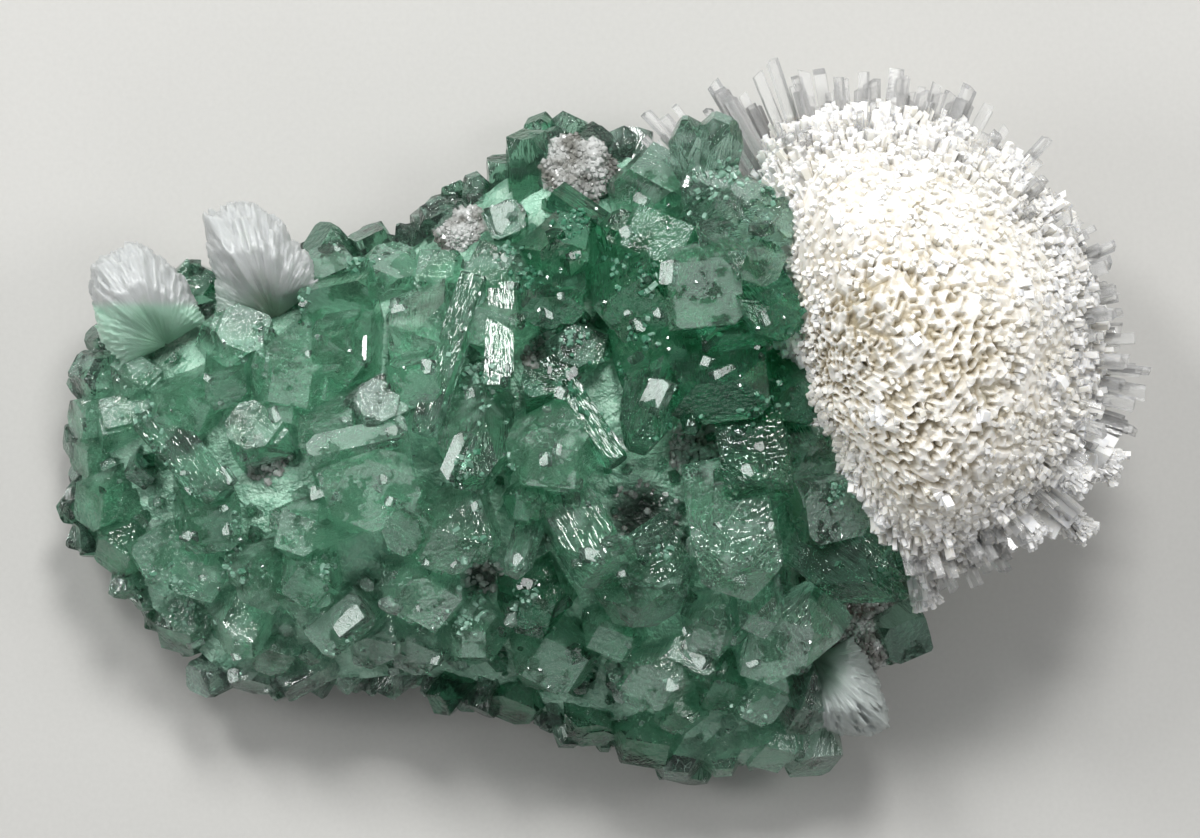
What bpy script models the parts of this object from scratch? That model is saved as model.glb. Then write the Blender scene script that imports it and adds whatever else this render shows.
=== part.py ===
"""Green apophyllite on basalt, with a spiny ball of scolecite and three fans of stilbite.

The specimen lies on the sawn back of its rock, crystals up. Metres, +Z up. +X runs along the
length, towards the ball, and +Y towards the edge that carries the two white fans. The origin is
on the sawn back. Tables of places and sizes are in millimetres and degrees, and MM turns them
to metres.
"""

import math
import random

import bmesh
import bpy
from mathutils import Matrix, Vector, noise

MM = 0.001

# Room left between two pieces that touch
GAP = 0.3
# Faces that differ by less than this angle are one flat face
FLAT = math.radians(0.5)

# Rock: a sawn slab of basalt with a domed top, high in the middle and steep at the rim
ROCK_RIM = 9.0
ROCK_CROWN = 26.0
ROCK_WAIST = 4.0
ROCK_CENTRE = (-10.0, -4.0)
ROCK_DOME_POWER = 2.2
ROCK_SWELL = 1.2
ROCK_RINGS = (1.0, 0.62)
# The sawn back's outline beside the widest one
ROCK_BACK = 0.93
ROCK_OUTLINE = [
    (-70.5, 2.3), (-70.5, -14.2), (-62.9, -23.8), (-51.2, -34.1), (-38.1, -34.8),
    (-24.4, -33.4), (-13.3, -36.9), (1.8, -42.4), (12.8, -45.8), (25.2, -44.4),
    (33.4, -38.9), (38.3, -30.7), (44.4, -19.7), (48.6, -7.3), (48.6, 5.1),
    (44.4, 18.9), (33.4, 29.9), (21.1, 34.0), (4.5, 33.0), (-6.5, 36.0),
    (-14.7, 29.9), (-25.7, 21.6), (-40.9, 19.5), (-56.0, 16.1), (-67.0, 9.2),
]
# Knobs of rock that stand out between the crystals: x, y, z, radius
ROCK_KNOBS = [(-4.4, 33.4, 14.0, 5.6), (35.0, -31.6, 9.5, 4.2), (-19.6, 25.4, 13.0, 4.0)]
KNOB_ROUGHNESS = 0.28

# Bed of apophyllite that the larger crystals stand in
BED_THICKNESS = 2.4
BED_FOOT = 8.0
CRUST_FOOT = 4.0
BED_RIGHT_EDGE = 27.0

# Apophyllite: a square prism with a flat base, its corners cut by a steep pyramid
PYRAMID_SLOPE = math.radians(60)
ROOT_LENGTH = 4.0

# Ball of scolecite
BALL_CENTRE = Vector((35.5, 9.9, 22.8))
BALL_RADIUS = 32.0
BALL_LUMP = 1.0
# The side towards the crust is much flatter
BALL_FLAT_SIDE = Vector((-0.93, -0.28, 0.20)).normalized()
BALL_FLAT_REACH = 11.5
BALL_LOW_REACH = 19.0
SPINE_ROOT = 18.0
# Spines between the edge and the top, none where the skin is nearer to the centre than this
LOOSE_SPINES = 50
SPINE_SKIN = 26.0
SPINE_PROUD = (1.2, 3.6)
SPINE_HALF_WIDTH = (0.9, 1.6)
# Room between a spine and a crystal
SPINE_CLEAR = 1.2


def clear_scene():
    for obj in list(bpy.data.objects):
        bpy.data.objects.remove(obj)


def new_object(name, bm):
    """An object of this name from a bmesh in millimetres."""
    bmesh.ops.scale(bm, vec=(MM, MM, MM), verts=bm.verts)
    bmesh.ops.recalc_face_normals(bm, faces=bm.faces)
    mesh = bpy.data.meshes.new(name)
    bm.to_mesh(mesh)
    bm.free()
    obj = bpy.data.objects.new(name, mesh)
    bpy.context.scene.collection.objects.link(obj)
    return obj


def hull_of(name, points):
    """The convex solid around these points."""
    bm = bmesh.new()
    for point in points:
        bm.verts.new(point)
    bmesh.ops.convex_hull(bm, input=bm.verts)
    loose = [v for v in bm.verts if not v.link_faces]
    bmesh.ops.delete(bm, geom=loose, context="VERTS")
    bmesh.ops.dissolve_limit(bm, angle_limit=FLAT, verts=bm.verts, edges=bm.edges)
    return new_object(name, bm)


def corners_of(planes):
    """The corners of the convex solid behind all these planes."""
    corners = []
    for i, (n1, d1) in enumerate(planes):
        for j in range(i + 1, len(planes)):
            n2, d2 = planes[j]
            for n3, d3 in planes[j + 1:]:
                solve = Matrix((n1, n2, n3))
                if abs(solve.determinant()) < 1e-6:
                    continue
                point = solve.inverted() @ Vector((d1, d2, d3))
                if all(n.dot(point) <= d + 1e-5 for n, d in planes):
                    if all((point - other).length > 1e-4 for other in corners):
                        corners.append(point)
    return corners


def larger_hull(name, points, margin):
    """The convex solid around these points, each of its faces moved out by the margin."""
    hull = hull_of("guide", points)
    middle = sum((Vector(p) for p in points), Vector()) / len(points)
    planes = []
    for face in hull.data.polygons:
        corner = hull.data.vertices[face.vertices[0]].co / MM
        planes.append((face.normal.copy(), face.normal.dot(corner - middle) + margin))
    bpy.data.objects.remove(hull)
    return hull_of(name, [middle + corner for corner in corners_of(planes)])


def combine(target, operation, others):
    """target joined with, or cut by, all the others, which are then removed."""
    group = bpy.data.collections.new("operands")
    for other in others:
        group.objects.link(other)
    modifier = target.modifiers.new("combine", "BOOLEAN")
    modifier.operand_type = "COLLECTION"
    modifier.collection = group
    modifier.operation = operation
    graph = bpy.context.evaluated_depsgraph_get()
    mesh = bpy.data.meshes.new_from_object(target.evaluated_get(graph))
    target.modifiers.clear()
    target.data = mesh
    for other in others:
        bpy.data.objects.remove(other)
    bpy.data.collections.remove(group)
    return target


def keep_largest_body(obj):
    """Drops the crumbs that a cut leaves beside the main body."""
    bm = bmesh.new()
    bm.from_mesh(obj.data)
    unseen = set(bm.verts)
    bodies = []
    while unseen:
        front = [unseen.pop()]
        body = list(front)
        while front:
            for edge in front.pop().link_edges:
                for vert in edge.verts:
                    if vert in unseen:
                        unseen.remove(vert)
                        front.append(vert)
                        body.append(vert)
        bodies.append(body)
    bodies.sort(key=len)
    crumbs = [vert for body in bodies[:-1] for vert in body]
    bmesh.ops.delete(bm, geom=crumbs, context="VERTS")
    bm.to_mesh(obj.data)
    bm.free()
    return obj


def material(name, colour, roughness):
    made = bpy.data.materials.new(name)
    made.use_nodes = True
    shader = made.node_tree.nodes["Principled BSDF"]
    shader.inputs["Base Color"].default_value = (*colour, 1)
    shader.inputs["Roughness"].default_value = roughness
    shader.inputs["Metallic"].default_value = 0
    return made


def centre_on_origin(pieces):
    """Moves the meshes so that the specimen's length and width are centred on the origin."""
    points = [vert.co for piece in pieces for vert in piece.data.vertices]
    low = Vector((min(p.x for p in points), min(p.y for p in points), 0))
    high = Vector((max(p.x for p in points), max(p.y for p in points), 0))
    for piece in pieces:
        piece.data.transform(Matrix.Translation(-(low + high) / 2))


def paint(obj, made):
    obj.data.materials.clear()
    obj.data.materials.append(made)


# Rock

def rim_distance(angle):
    """How far the rock's outline is from its centre in this direction."""
    out = Vector((math.cos(angle), math.sin(angle)))
    centre = Vector(ROCK_CENTRE)
    found = []
    for start, end in zip(ROCK_OUTLINE, ROCK_OUTLINE[1:] + ROCK_OUTLINE[:1]):
        a = Vector(start) - centre
        side = Vector(end) - Vector(start)
        cross = out.x * side.y - out.y * side.x
        if abs(cross) < 1e-9:
            continue
        reach = (a.x * side.y - a.y * side.x) / cross
        along = (a.x * out.y - a.y * out.x) / cross
        if reach > 0 and -1e-4 <= along <= 1 + 1e-4:
            found.append(reach)
    return max(found)


def rock_share(x, y):
    """0 at the rock's centre and 1 at its outline."""
    dx, dy = x - ROCK_CENTRE[0], y - ROCK_CENTRE[1]
    return math.hypot(dx, dy) / rim_distance(math.atan2(dy, dx))


def rock_height(x, y):
    share = min(rock_share(x, y), 1.0)
    dome = ROCK_RIM + (ROCK_CROWN - ROCK_RIM) * (1 - share**ROCK_DOME_POWER)
    return dome + ROCK_SWELL * math.sin(0.21 * x + 1) * math.cos(0.17 * y)


def rock_shape(name, swell=0.0, foot=0.0):
    """The slab, its skin moved outwards by swell and its back at the height foot."""
    bm = bmesh.new()
    centre = Vector((*ROCK_CENTRE, 0))

    def ring(share, height):
        made = []
        for x, y in ROCK_OUTLINE:
            out = Vector((x, y, 0)) - centre
            place = centre + out * share + out.normalized() * swell
            z = height if height is not None else rock_height(place.x, place.y) + swell
            made.append(bm.verts.new((place.x, place.y, z)))
        return made

    rings = [ring(ROCK_BACK, foot), ring(1.0, ROCK_WAIST)]
    rings += [ring(share, None) for share in ROCK_RINGS]
    for low, high in zip(rings, rings[1:]):
        for i in range(len(low)):
            j = (i + 1) % len(low)
            bm.faces.new((low[i], low[j], high[j], high[i]))
    bm.faces.new(rings[0][::-1])
    top_z = rock_height(*ROCK_CENTRE) + swell
    top = bm.verts.new((*ROCK_CENTRE, top_z))
    last = rings[-1]
    for i in range(len(last)):
        bm.faces.new((last[i], last[(i + 1) % len(last)], top))
    curved = [face for face in bm.faces if len(face.verts) == 4]
    bmesh.ops.triangulate(bm, faces=curved)
    return new_object(name, bm)


def knob(name, place, radius, swell=0.0):
    """A rough lump of rock."""
    bm = bmesh.new()
    bmesh.ops.create_icosphere(bm, subdivisions=2, radius=1)
    for vert in bm.verts:
        rough = 1 + KNOB_ROUGHNESS * noise.noise(vert.co * 1.7 + Vector(place))
        vert.co = Vector(place) + vert.co * (radius * rough + swell)
    return new_object(name, bm)


def make_rock():
    rock = rock_shape("basalt_matrix")
    knobs = [knob("knob", (x, y, z), r) for x, y, z, r in ROCK_KNOBS]
    return combine(rock, "UNION", knobs)


def rock_cutters():
    """The rock with its skin moved out by the gap, for cutting what grows on it."""
    cutters = [rock_shape("rock_cutter", GAP, -5.0)]
    cutters += [knob("knob_cutter", (x, y, z), r, GAP) for x, y, z, r in ROCK_KNOBS]
    return cutters


# Apophyllite

# x, y, height of the middle above the rock, half widths a and b, half length, lean of the long
# axis from upright, direction it leans to, direction of a, share of each corner that is cut
CRYSTALS = [
    # Left end
    (-70.5, 5.8, 4, 3.2, 3.2, 3.4, 45, 150, 20, 0.55),
    (-71.0, 0.3, 2, 3.0, 2.6, 3.2, 65, 190, 10, 0.30),
    (-70.4, -5.0, 2, 3.0, 3.0, 3.4, 60, 195, 35, 0.45),
    (-65.6, 0.5, 6, 4.2, 2.2, 2.4, 20, 80, 15, 0.10),
    (-64.3, 4.4, 5, 3.6, 3.2, 3.6, 35, 100, 5, 0.50),
    (-68.9, -11.2, 3, 3.8, 3.6, 4.0, 50, 200, 25, 0.40),
    (-65.9, -17.2, 3, 3.8, 3.4, 4.2, 55, 225, 15, 0.45),
    (-60.5, -18.3, 6, 3.8, 3.2, 3.0, 18, 225, 30, 0.15),
    (-56.4, -20.8, 6, 4.4, 3.8, 5.0, 48, 300, 20, 0.75),
    (-63.8, -24.1, 1, 1.8, 1.8, 2.4, 70, 215, 0, 0.30),
    (-58.2, -27.8, 2, 4.0, 3.6, 4.2, 55, 240, 40, 0.55),
    (-49.6, -28.2, 5, 4.6, 4.2, 5.4, 45, 270, 45, 0.80),
    (-49.1, -34.2, 0, 3.2, 3.0, 3.6, 70, 262, 10, 0.35),
    (-56.5, -6.8, 7, 2.4, 2.2, 6.0, 72, 310, 20, 0.45),
    (-54.5, -14.0, 7, 3.8, 3.4, 3.4, 28, 300, 0, 0.30),
    (-46.6, -22.6, 6, 4.2, 3.8, 4.2, 38, 280, 15, 0.60),
    # Lower left
    (-36.0, -28.0, 6, 4.6, 2.8, 2.8, 16, 240, 40, 0.12),
    (-31.4, -30.4, 4, 4.2, 2.4, 3.0, 45, 245, 35, 0.35),
    (-32.6, -8.9, 7, 6.2, 5.0, 5.0, 24, 300, 20, 0.35),
    (-33.7, -4.4, 9, 6.8, 1.9, 2.8, 41, 101, 13, 0.05),
    (-26.8, -14.2, 8, 3.2, 2.6, 3.6, 30, 240, 60, 0.30),
    (-21.6, -15.6, 7, 5.8, 4.0, 4.6, 35, 265, 20, 0.55),
    (-25.0, -23.5, 6, 5.4, 4.4, 4.6, 30, 270, 10, 0.50),
    (-18.0, -29.0, 6, 4.2, 4.0, 5.4, 20, 262, 45, 0.72),
    (-25.6, -30.6, 4, 3.6, 3.2, 3.8, 42, 250, 20, 0.40),
    (-41.0, -15.0, 6, 4.0, 3.6, 4.0, 25, 200, 30, 0.45),
    (-40.5, -21.5, 6, 3.4, 3.2, 3.6, 30, 250, 10, 0.50),
    (-45.5, -31.0, 3, 3.0, 2.8, 3.6, 50, 265, 20, 0.45),
    # Upper left
    (-37.5, -1.6, 7, 4.2, 2.8, 3.0, 30, 250, 15, 0.30),
    (-31.4, 1.2, 6, 3.4, 3.0, 3.6, 25, 60, 30, 0.40),
    (-57.1, 17.4, 3, 3.2, 3.2, 4.0, 30, 90, 15, 0.45),
    (-50.5, 10.6, 6, 4.0, 3.6, 4.0, 28, 60, 25, 0.45),
    (-52.0, 4.6, 6, 2.8, 2.2, 2.8, 30, 270, 10, 0.35),
    (-43.0, 5.6, 7, 5.4, 5.0, 4.8, 18, 240, 35, 0.65),
    (-47.5, -2.0, 5, 4.0, 3.4, 3.6, 20, 120, 10, 0.40),
    (-57.5, 1.5, 4, 4.2, 3.6, 3.8, 20, 250, 20, 0.45),
    (-35.6, 9.0, 7, 4.0, 3.8, 4.4, 25, 250, 10, 0.55),
    (-36.6, 15.4, 6, 4.8, 3.6, 4.0, 14, 250, 12, 0.08),
    (-38.6, 19.0, 3, 3.6, 3.2, 3.6, 48, 100, 30, 0.30),
    (-29.9, 19.0, 5, 3.4, 3.2, 4.2, 40, 75, 20, 0.35),
    (-23.0, 19.4, 6, 3.6, 3.2, 3.8, 30, 110, 40, 0.50),
    (-24.4, 10.6, 7, 4.2, 3.8, 4.4, 30, 270, 25, 0.50),
    (-25.7, 5.2, 7, 3.6, 3.0, 3.2, 25, 240, 15, 0.30),
    (-22.0, 6.5, 8, 1.7, 1.6, 9.5, 80, 252, 0, 0.35),
    # Top
    (-13.9, 26.0, 8, 2.5, 2.4, 3.6, 18, 100, 25, 0.08),
    (-10.9, 33.4, 6, 2.6, 2.3, 6.2, 68, 95, 10, 0.45),
    (7.3, 31.4, 9, 6.6, 4.8, 5.0, 38, 85, 10, 0.62),
    (11.4, 37.4, 20, 2.2, 2.2, 4.4, 50, 100, 40, 0.85),
    (15.0, 37.6, 22, 2.4, 2.3, 4.6, 45, 75, 20, 0.75),
    (13.6, 32.2, 15, 3.2, 3.0, 4.6, 25, 60, 15, 0.35),
    (6.4, 23.6, 9, 5.8, 4.6, 4.2, 25, 80, 20, 0.50),
    (-5.8, 22.6, 7, 5.0, 4.4, 4.6, 38, 60, 30, 0.60),
    (0.5, 25.2, 9, 1.6, 1.5, 5.6, 75, 325, 10, 0.40),
    (-14.8, 19.5, 6, 4.4, 3.8, 4.4, 30, 130, 20, 0.50),
    # Middle
    (13.5, 18.0, 12, 5.0, 4.6, 5.0, 16, 260, 5, 0.12),
    (4.1, 16.4, 10, 4.2, 4.0, 4.8, 28, 270, 35, 0.10),
    (-7.4, 16.2, 7, 4.2, 2.2, 3.6, 30, 270, 5, 0.35),
    (-14.7, 8.5, 9, 1.8, 1.6, 5.0, 70, 268, 0, 0.25),
    (-14.5, 12.5, 6, 4.0, 3.6, 4.0, 20, 200, 30, 0.45),
    (-18.0, -3.6, 7, 3.9, 3.6, 6.6, 52, 268, 30, 0.60),
    (-6.9, -4.6, 7, 5.8, 5.4, 5.4, 20, 275, 40, 0.62),
    (-8.8, 3.6, 8, 2.6, 2.0, 3.2, 22, 90, 10, 0.12),
    (-2.2, -0.8, 8, 1.5, 1.4, 6.8, 72, 304, 20, 0.35),
    (5.5, 1.0, 8, 2.6, 2.4, 6.4, 62, 258, 25, 0.60),
    (5.9, 9.2, 6, 4.8, 3.6, 3.8, 30, 280, 20, 0.45),
    (-4.0, 9.0, 4, 3.8, 3.2, 3.6, 20, 40, 30, 0.45),
    (-11.4, -17.6, 9, 1.6, 1.3, 4.6, 55, 255, 10, 0.45),
    (-10.9, -11.8, 8, 2.7, 2.5, 3.0, 20, 240, 35, 0.65),
    (-4.0, -15.2, 7, 3.6, 3.4, 8.0, 62, 302, 20, 0.45),
    (-9.5, -24.4, 6, 4.2, 3.8, 4.4, 30, 270, 30, 0.55),
    # Beside the ball
    (15.8, 4.8, 11, 6.2, 3.4, 4.4, 38, 268, 8, 0.30),
    (17.5, 11.3, 9, 4.8, 2.6, 3.8, 35, 275, 5, 0.40),
    (21.7, 15.1, 16, 3.6, 3.0, 5.0, 35, 305, 20, 0.45),
    (17.4, 28.0, 17, 3.4, 3.2, 6.0, 25, 30, 35, 0.40),
    (21.2, 26.4, 21, 3.2, 2.8, 4.6, 40, 10, 10, 0.55),
    (19.2, 22.0, 17, 3.4, 3.0, 4.8, 30, 320, 25, 0.45),
    (20.0, -5.5, 11, 4.6, 3.8, 6.4, 55, 278, 10, 0.40),
    (25.0, 4.0, 8, 3.6, 3.2, 5.4, 30, 300, 30, 0.35),
    (17.6, -16.9, 12, 5.6, 4.4, 7.6, 50, 278, 15, 0.55),
    (31.6, -11.6, 11, 6.2, 4.2, 4.2, 22, 330, 10, 0.15),
    (32.6, -18.6, 12, 3.4, 5.6, 10.6, 72, 321, 321, 0.90),
    (40.6, -29.6, 0, 3.2, 3.0, 3.8, 30, 310, 20, 0.15),
    (27.6, -4.6, 8, 4.0, 3.6, 4.4, 35, 300, 20, 0.40),
    # Lower right
    (6.0, -23.8, 8, 6.6, 2.6, 3.4, 50, 300, 35, 0.55),
    (24.0, -30.5, 9, 6.8, 3.8, 4.0, 30, 235, 30, 0.35),
    (20.8, -26.6, 11, 2.6, 2.2, 3.2, 35, 270, 15, 0.50),
    (14.4, -28.2, 8, 3.4, 3.2, 4.0, 35, 250, 30, 0.50),
    (6.8, -35.2, 6, 5.0, 3.6, 4.0, 32, 240, 15, 0.55),
    (11.8, -33.2, 8, 3.2, 2.0, 2.6, 20, 90, 335, 0.10),
    (15.2, -36.4, 6, 3.4, 3.0, 4.0, 32, 300, 20, 0.50),
    (1.0, -29.0, 5, 3.6, 3.2, 3.8, 30, 260, 20, 0.50),
    (-7.2, -32.2, 6, 5.6, 4.4, 4.6, 22, 270, 15, 0.55),
    (-12.2, -37.4, 1, 4.0, 3.4, 4.2, 58, 250, 20, 0.45),
    (-2.4, -40.4, 1, 3.2, 3.0, 4.4, 60, 272, 10, 0.35),
    (5.6, -42.6, 2, 4.6, 4.0, 5.0, 50, 262, 35, 0.55),
    (10.4, -45.2, 1, 4.2, 3.6, 5.4, 60, 265, 40, 0.70),
    (15.6, -45.0, 1, 3.6, 3.2, 5.2, 60, 277, 45, 0.70),
    (22.6, -43.8, 2, 4.2, 3.6, 4.6, 55, 270, 20, 0.50),
    (28.0, -45.4, 0, 4.0, 3.4, 3.8, 62, 290, 30, 0.40),
    (20.4, -37.6, 5, 3.6, 3.2, 4.2, 35, 300, 15, 0.45),
    (26.6, -39.0, 3, 3.4, 3.0, 4.2, 48, 290, 30, 0.40),
    (10.2, -39.4, 5, 3.2, 3.0, 4.2, 40, 255, 10, 0.60),
]


def crystal_stance(row):
    """The crystal's own axes and middle as one matrix, in millimetres."""
    x, y, rise, _, _, _, lean, toward, spin, _ = row
    turn = Matrix.Rotation(math.radians(toward), 4, "Z")
    tip_over = Matrix.Rotation(math.radians(lean), 4, "Y")
    about_axis = Matrix.Rotation(math.radians(spin - toward), 4, "Z")
    place = Matrix.Translation((x, y, rock_height(x, y) + rise))
    return place @ turn @ tip_over @ about_axis


def crystal_planes(row):
    """(normal, distance) of each face about the crystal's middle, in its own axes."""
    half_a, half_b, top, cut = row[3], row[4], row[5], row[9]
    side = math.sin(PYRAMID_SLOPE) / math.sqrt(2)
    rise = math.cos(PYRAMID_SLOPE)
    corner = side * (half_a + half_b) + rise * top
    pyramid = corner + cut * (rise * top - corner)
    planes = [((0, 0, 1), top), ((0, 0, -1), top + ROOT_LENGTH)]
    for sign in (1, -1):
        planes += [((sign, 0, 0), half_a), ((0, sign, 0), half_b)]
        planes += [((sign * side, across * side, rise), pyramid) for across in (1, -1)]
    return [(Vector(normal).normalized(), reach) for normal, reach in planes]


def crystal(row):
    stance = crystal_stance(row)
    return hull_of("crystal", [stance @ p for p in corners_of(crystal_planes(row))])


def inside_crystal(row, point, margin):
    local = crystal_stance(row).inverted() @ point
    return all(n.dot(local) <= d + margin for n, d in crystal_planes(row))


def box(name, low, high):
    bounds = list(zip(low, high))
    return hull_of(name, [(x, y, z) for x in bounds[0] for y in bounds[1] for z in bounds[2]])


def make_crust():
    """The bed and all the crystals that are grown together in it."""
    far = 100
    bed = rock_shape("apophyllite_crust", BED_THICKNESS)
    below = box("below", (-far, -far, -far), (far, far, BED_FOOT))
    right = box("right", (BED_RIGHT_EDGE, -far, -far), (far, far, far))
    combine(bed, "DIFFERENCE", [below, right])
    combine(bed, "UNION", [crystal(row) for row in CRYSTALS])
    return combine(bed, "DIFFERENCE", [box("low", (-far, -far, -far), (far, far, CRUST_FOOT))])


# Scolecite ball

# Long spines low on the side by the crust, whose crystals make room for them: bearing, rise
# above level, reach of the tip, half width
LOW_SPINES = [
    (133, -7, 44.2, 1.5), (137.5, -4, 41.8, 1.3), (128.5, -5, 42.2, 1.4), (123.5, -9, 39.5, 1.5),
    (120, -3, 41.8, 1.9), (115.5, -5, 38.5, 1.6),
]
# The spines seen against the outline
EDGE_SPINES = [
    (111.5, 3, 40.0, 0.8), (108.5, 6, 41.0, 0.8), (105, 9, 38.8, 1.8),
    (100.5, 4, 38.0, 1.0), (96.5, 12, 37.4, 1.2), (90.5, 5, 37.4, 1.9), (84, 8, 38.2, 1.8),
    (76, 10, 37.2, 1.6), (69, 5, 38.0, 2.1), (65, 2, 37.0, 0.8), (58, 10, 35.6, 1.5),
    (49.5, 4, 37.6, 1.2), (42.5, 8, 33.6, 1.5), (36.5, 3, 33.2, 1.5), (30.5, 7, 33.8, 1.3),
    (22, 3, 36.6, 1.2), (19, 9, 35.4, 1.8), (12.5, 5, 35.0, 1.5), (7.5, 8, 35.4, 1.4),
    (1, 2, 36.8, 1.0), (-4.5, 5, 39.0, 1.2), (-9.5, 3, 38.8, 1.0), (-12, 9, 37.8, 0.9),
    (-17.5, 5, 38.6, 1.9), (-26.5, 9, 38.4, 3.2), (-33, 18, 36.6, 2.8), (-40.8, 6, 39.8, 2.4),
    (-49, 14, 36.0, 2.6), (-57.5, 5, 36.4, 1.9), (-66.5, 9, 33.8, 1.7), (-77, 2, 36.4, 2.4),
]


def spine(direction, reach, half_width, turn):
    """A four-sided prism along direction, from inside the ball to its slanted tip."""
    aim = direction.to_track_quat("Z", "Y").to_matrix().to_4x4()
    stance = Matrix.Translation(BALL_CENTRE) @ aim @ Matrix.Rotation(turn, 4, "Z")
    half_depth = 0.85 * half_width
    slant = 0.35 * half_width
    corners = []
    for sx in (1, -1):
        for sy in (1, -1):
            root = Vector((sx * half_width * 0.8, sy * half_depth * 0.8, SPINE_ROOT))
            tip = Vector((sx * half_width, sy * half_depth, reach + sx * slant))
            corners += [stance @ root, stance @ tip]
    return corners


def bearing(azimuth, rise):
    flat = math.cos(math.radians(rise))
    angle = math.radians(azimuth)
    return Vector((flat * math.cos(angle), flat * math.sin(angle), math.sin(math.radians(rise))))


def ball_reach(direction):
    """How far the ball's skin is from its centre in this direction."""
    flat = max(direction.dot(BALL_FLAT_SIDE), 0)
    low = max(-direction.z, 0) * (1 - flat)
    round_share = 1 - flat**2 - low**2
    squared = round_share / BALL_RADIUS**2 + (flat / BALL_FLAT_REACH) ** 2 + (low / BALL_LOW_REACH) ** 2
    return 1 / math.sqrt(squared) + BALL_LUMP * noise.noise(direction * 3.1)


def low_spines(swell=0.0):
    return [
        spine(bearing(azimuth, rise), reach + swell, half_width + 1.3 * swell, 0.7)
        for azimuth, rise, reach, half_width in LOW_SPINES
    ]


def clear_of_others(corners):
    """False for a spine that would run into a crystal or the rock."""
    tips = corners[1::2]
    for share in (1.0, 0.9, 0.8):
        for tip in tips:
            point = BALL_CENTRE + (tip - BALL_CENTRE) * share
            if rock_share(point.x, point.y) < 1.05 and point.z < rock_height(point.x, point.y) + 2:
                return False
            if any(inside_crystal(row, point, SPINE_CLEAR) for row in CRYSTALS):
                return False
    return True


def spines():
    draw = random.Random(11)
    found = []
    for azimuth, rise, reach, half_width in EDGE_SPINES:
        found.append(spine(bearing(azimuth, rise), reach, half_width, draw.uniform(0, 1.5)))
    golden = math.pi * (3 - math.sqrt(5))
    for i in range(LOOSE_SPINES):
        height = 1 - 1.4 * (i + 0.5) / LOOSE_SPINES
        flat = math.sqrt(1 - height * height)
        direction = Vector((flat * math.cos(golden * i), flat * math.sin(golden * i), height))
        skin = ball_reach(direction)
        half_width = draw.uniform(*SPINE_HALF_WIDTH)
        if skin > SPINE_SKIN:
            reach = skin + draw.uniform(*SPINE_PROUD)
            found.append(spine(direction, reach, half_width, draw.uniform(0, 1.5)))
    return [corners for corners in found if clear_of_others(corners)]


def ball_core(name, swell=0.0):
    bm = bmesh.new()
    bmesh.ops.create_icosphere(bm, subdivisions=3, radius=1)
    for vert in bm.verts:
        direction = vert.co.normalized()
        vert.co = BALL_CENTRE + direction * (ball_reach(direction) + swell)
    return new_object(name, bm)


def make_ball():
    ball = ball_core("scolecite_ball")
    return combine(ball, "UNION", [hull_of("spine", corners) for corners in low_spines() + spines()])


# Stilbite fans

# name, waist, half width of a blade, bearing and reach of each blade round the fan
FANS = [
    (
        "stilbite_fan_left", (-60.8, 9.9, 17.0), 2.1,
        [(190, 9.0), (170, 10.8), (154, 13.4), (139, 14.6), (124, 14.8), (108, 13.8), (88, 10.4),
         (66, 7.6)],
    ),
    (
        "stilbite_fan_upper", (-45.7, 13.3, 18.0), 2.0,
        [(172, 8.2), (148, 11.4), (134, 14.6), (124, 17.2), (112, 16.4), (98, 15.0), (84, 12.4),
         (66, 9.4), (46, 7.2)],
    ),
    (
        "stilbite_fan_lower", (28.6, -33.4, 12.5), 2.0,
        [(20, 6.2), (-8, 8.0), (-28, 10.8), (-41, 14.0), (-54, 13.2), (-70, 11.2), (-88, 9.4)],
    ),
]
# Rows of blades: rise above level, reach beside the lowest row's, and 2 for every second blade
FAN_ROWS = ((6, 1.0, 1), (42, 0.86, 2))
FAN_BODY = 0.86
FAN_WAIST = 2.4
# Share of the reach, and half width across and through beside the blade's own
FAN_BLADE_STEPS = ((0.6, 0.85, 0.95), (1.0, 0.65, 0.85))


def fan_rays(row):
    """The direction and the length of each blade of a fan."""
    draw = random.Random(row[0])
    rays = []
    for rise, share, step in FAN_ROWS:
        for azimuth, reach in row[3][::step]:
            length = reach * share * draw.uniform(0.96, 1.0)
            rays.append((bearing(azimuth + draw.uniform(-2, 2), rise), length))
    return rays


def fan_body_points(row):
    """The corners of the convex body that a fan's blades stand out from."""
    waist = Vector(row[1])
    points = [waist + direction * (length * FAN_BODY) for direction, length in fan_rays(row)]
    for axis in (Vector((1, 0, 0)), Vector((0, 1, 0)), Vector((0, 0, 1))):
        points += [waist + axis * FAN_WAIST, waist - axis * FAN_WAIST]
    return points


def fan_blade_points(row, direction, length):
    """The corners of a blade with a chisel tip, rooted inside the fan's body."""
    waist, half_width = Vector(row[1]), row[2]
    across = direction.cross(Vector((0, 0, 1))).normalized()
    up = across.cross(direction)
    points = []
    for share, wide, tall in FAN_BLADE_STEPS:
        for sx, sy in ((1, 1), (1, -1), (-1, 1), (-1, -1)):
            side = across * (sx * wide * half_width) + up * (sy * tall * half_width)
            points.append(waist + direction * (length * share) + side)
    return points


def fan_parts(row):
    return [fan_body_points(row)] + [fan_blade_points(row, *ray) for ray in fan_rays(row)]


def make_fan(row):
    body, *blades = [hull_of(row[0], points) for points in fan_parts(row)]
    return combine(body, "UNION", blades)


def fan_cutters(row):
    """The fan with its faces moved out by the gap."""
    return [larger_hull("fan_cutter", points, GAP) for points in fan_parts(row)]


# Assembly

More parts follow.
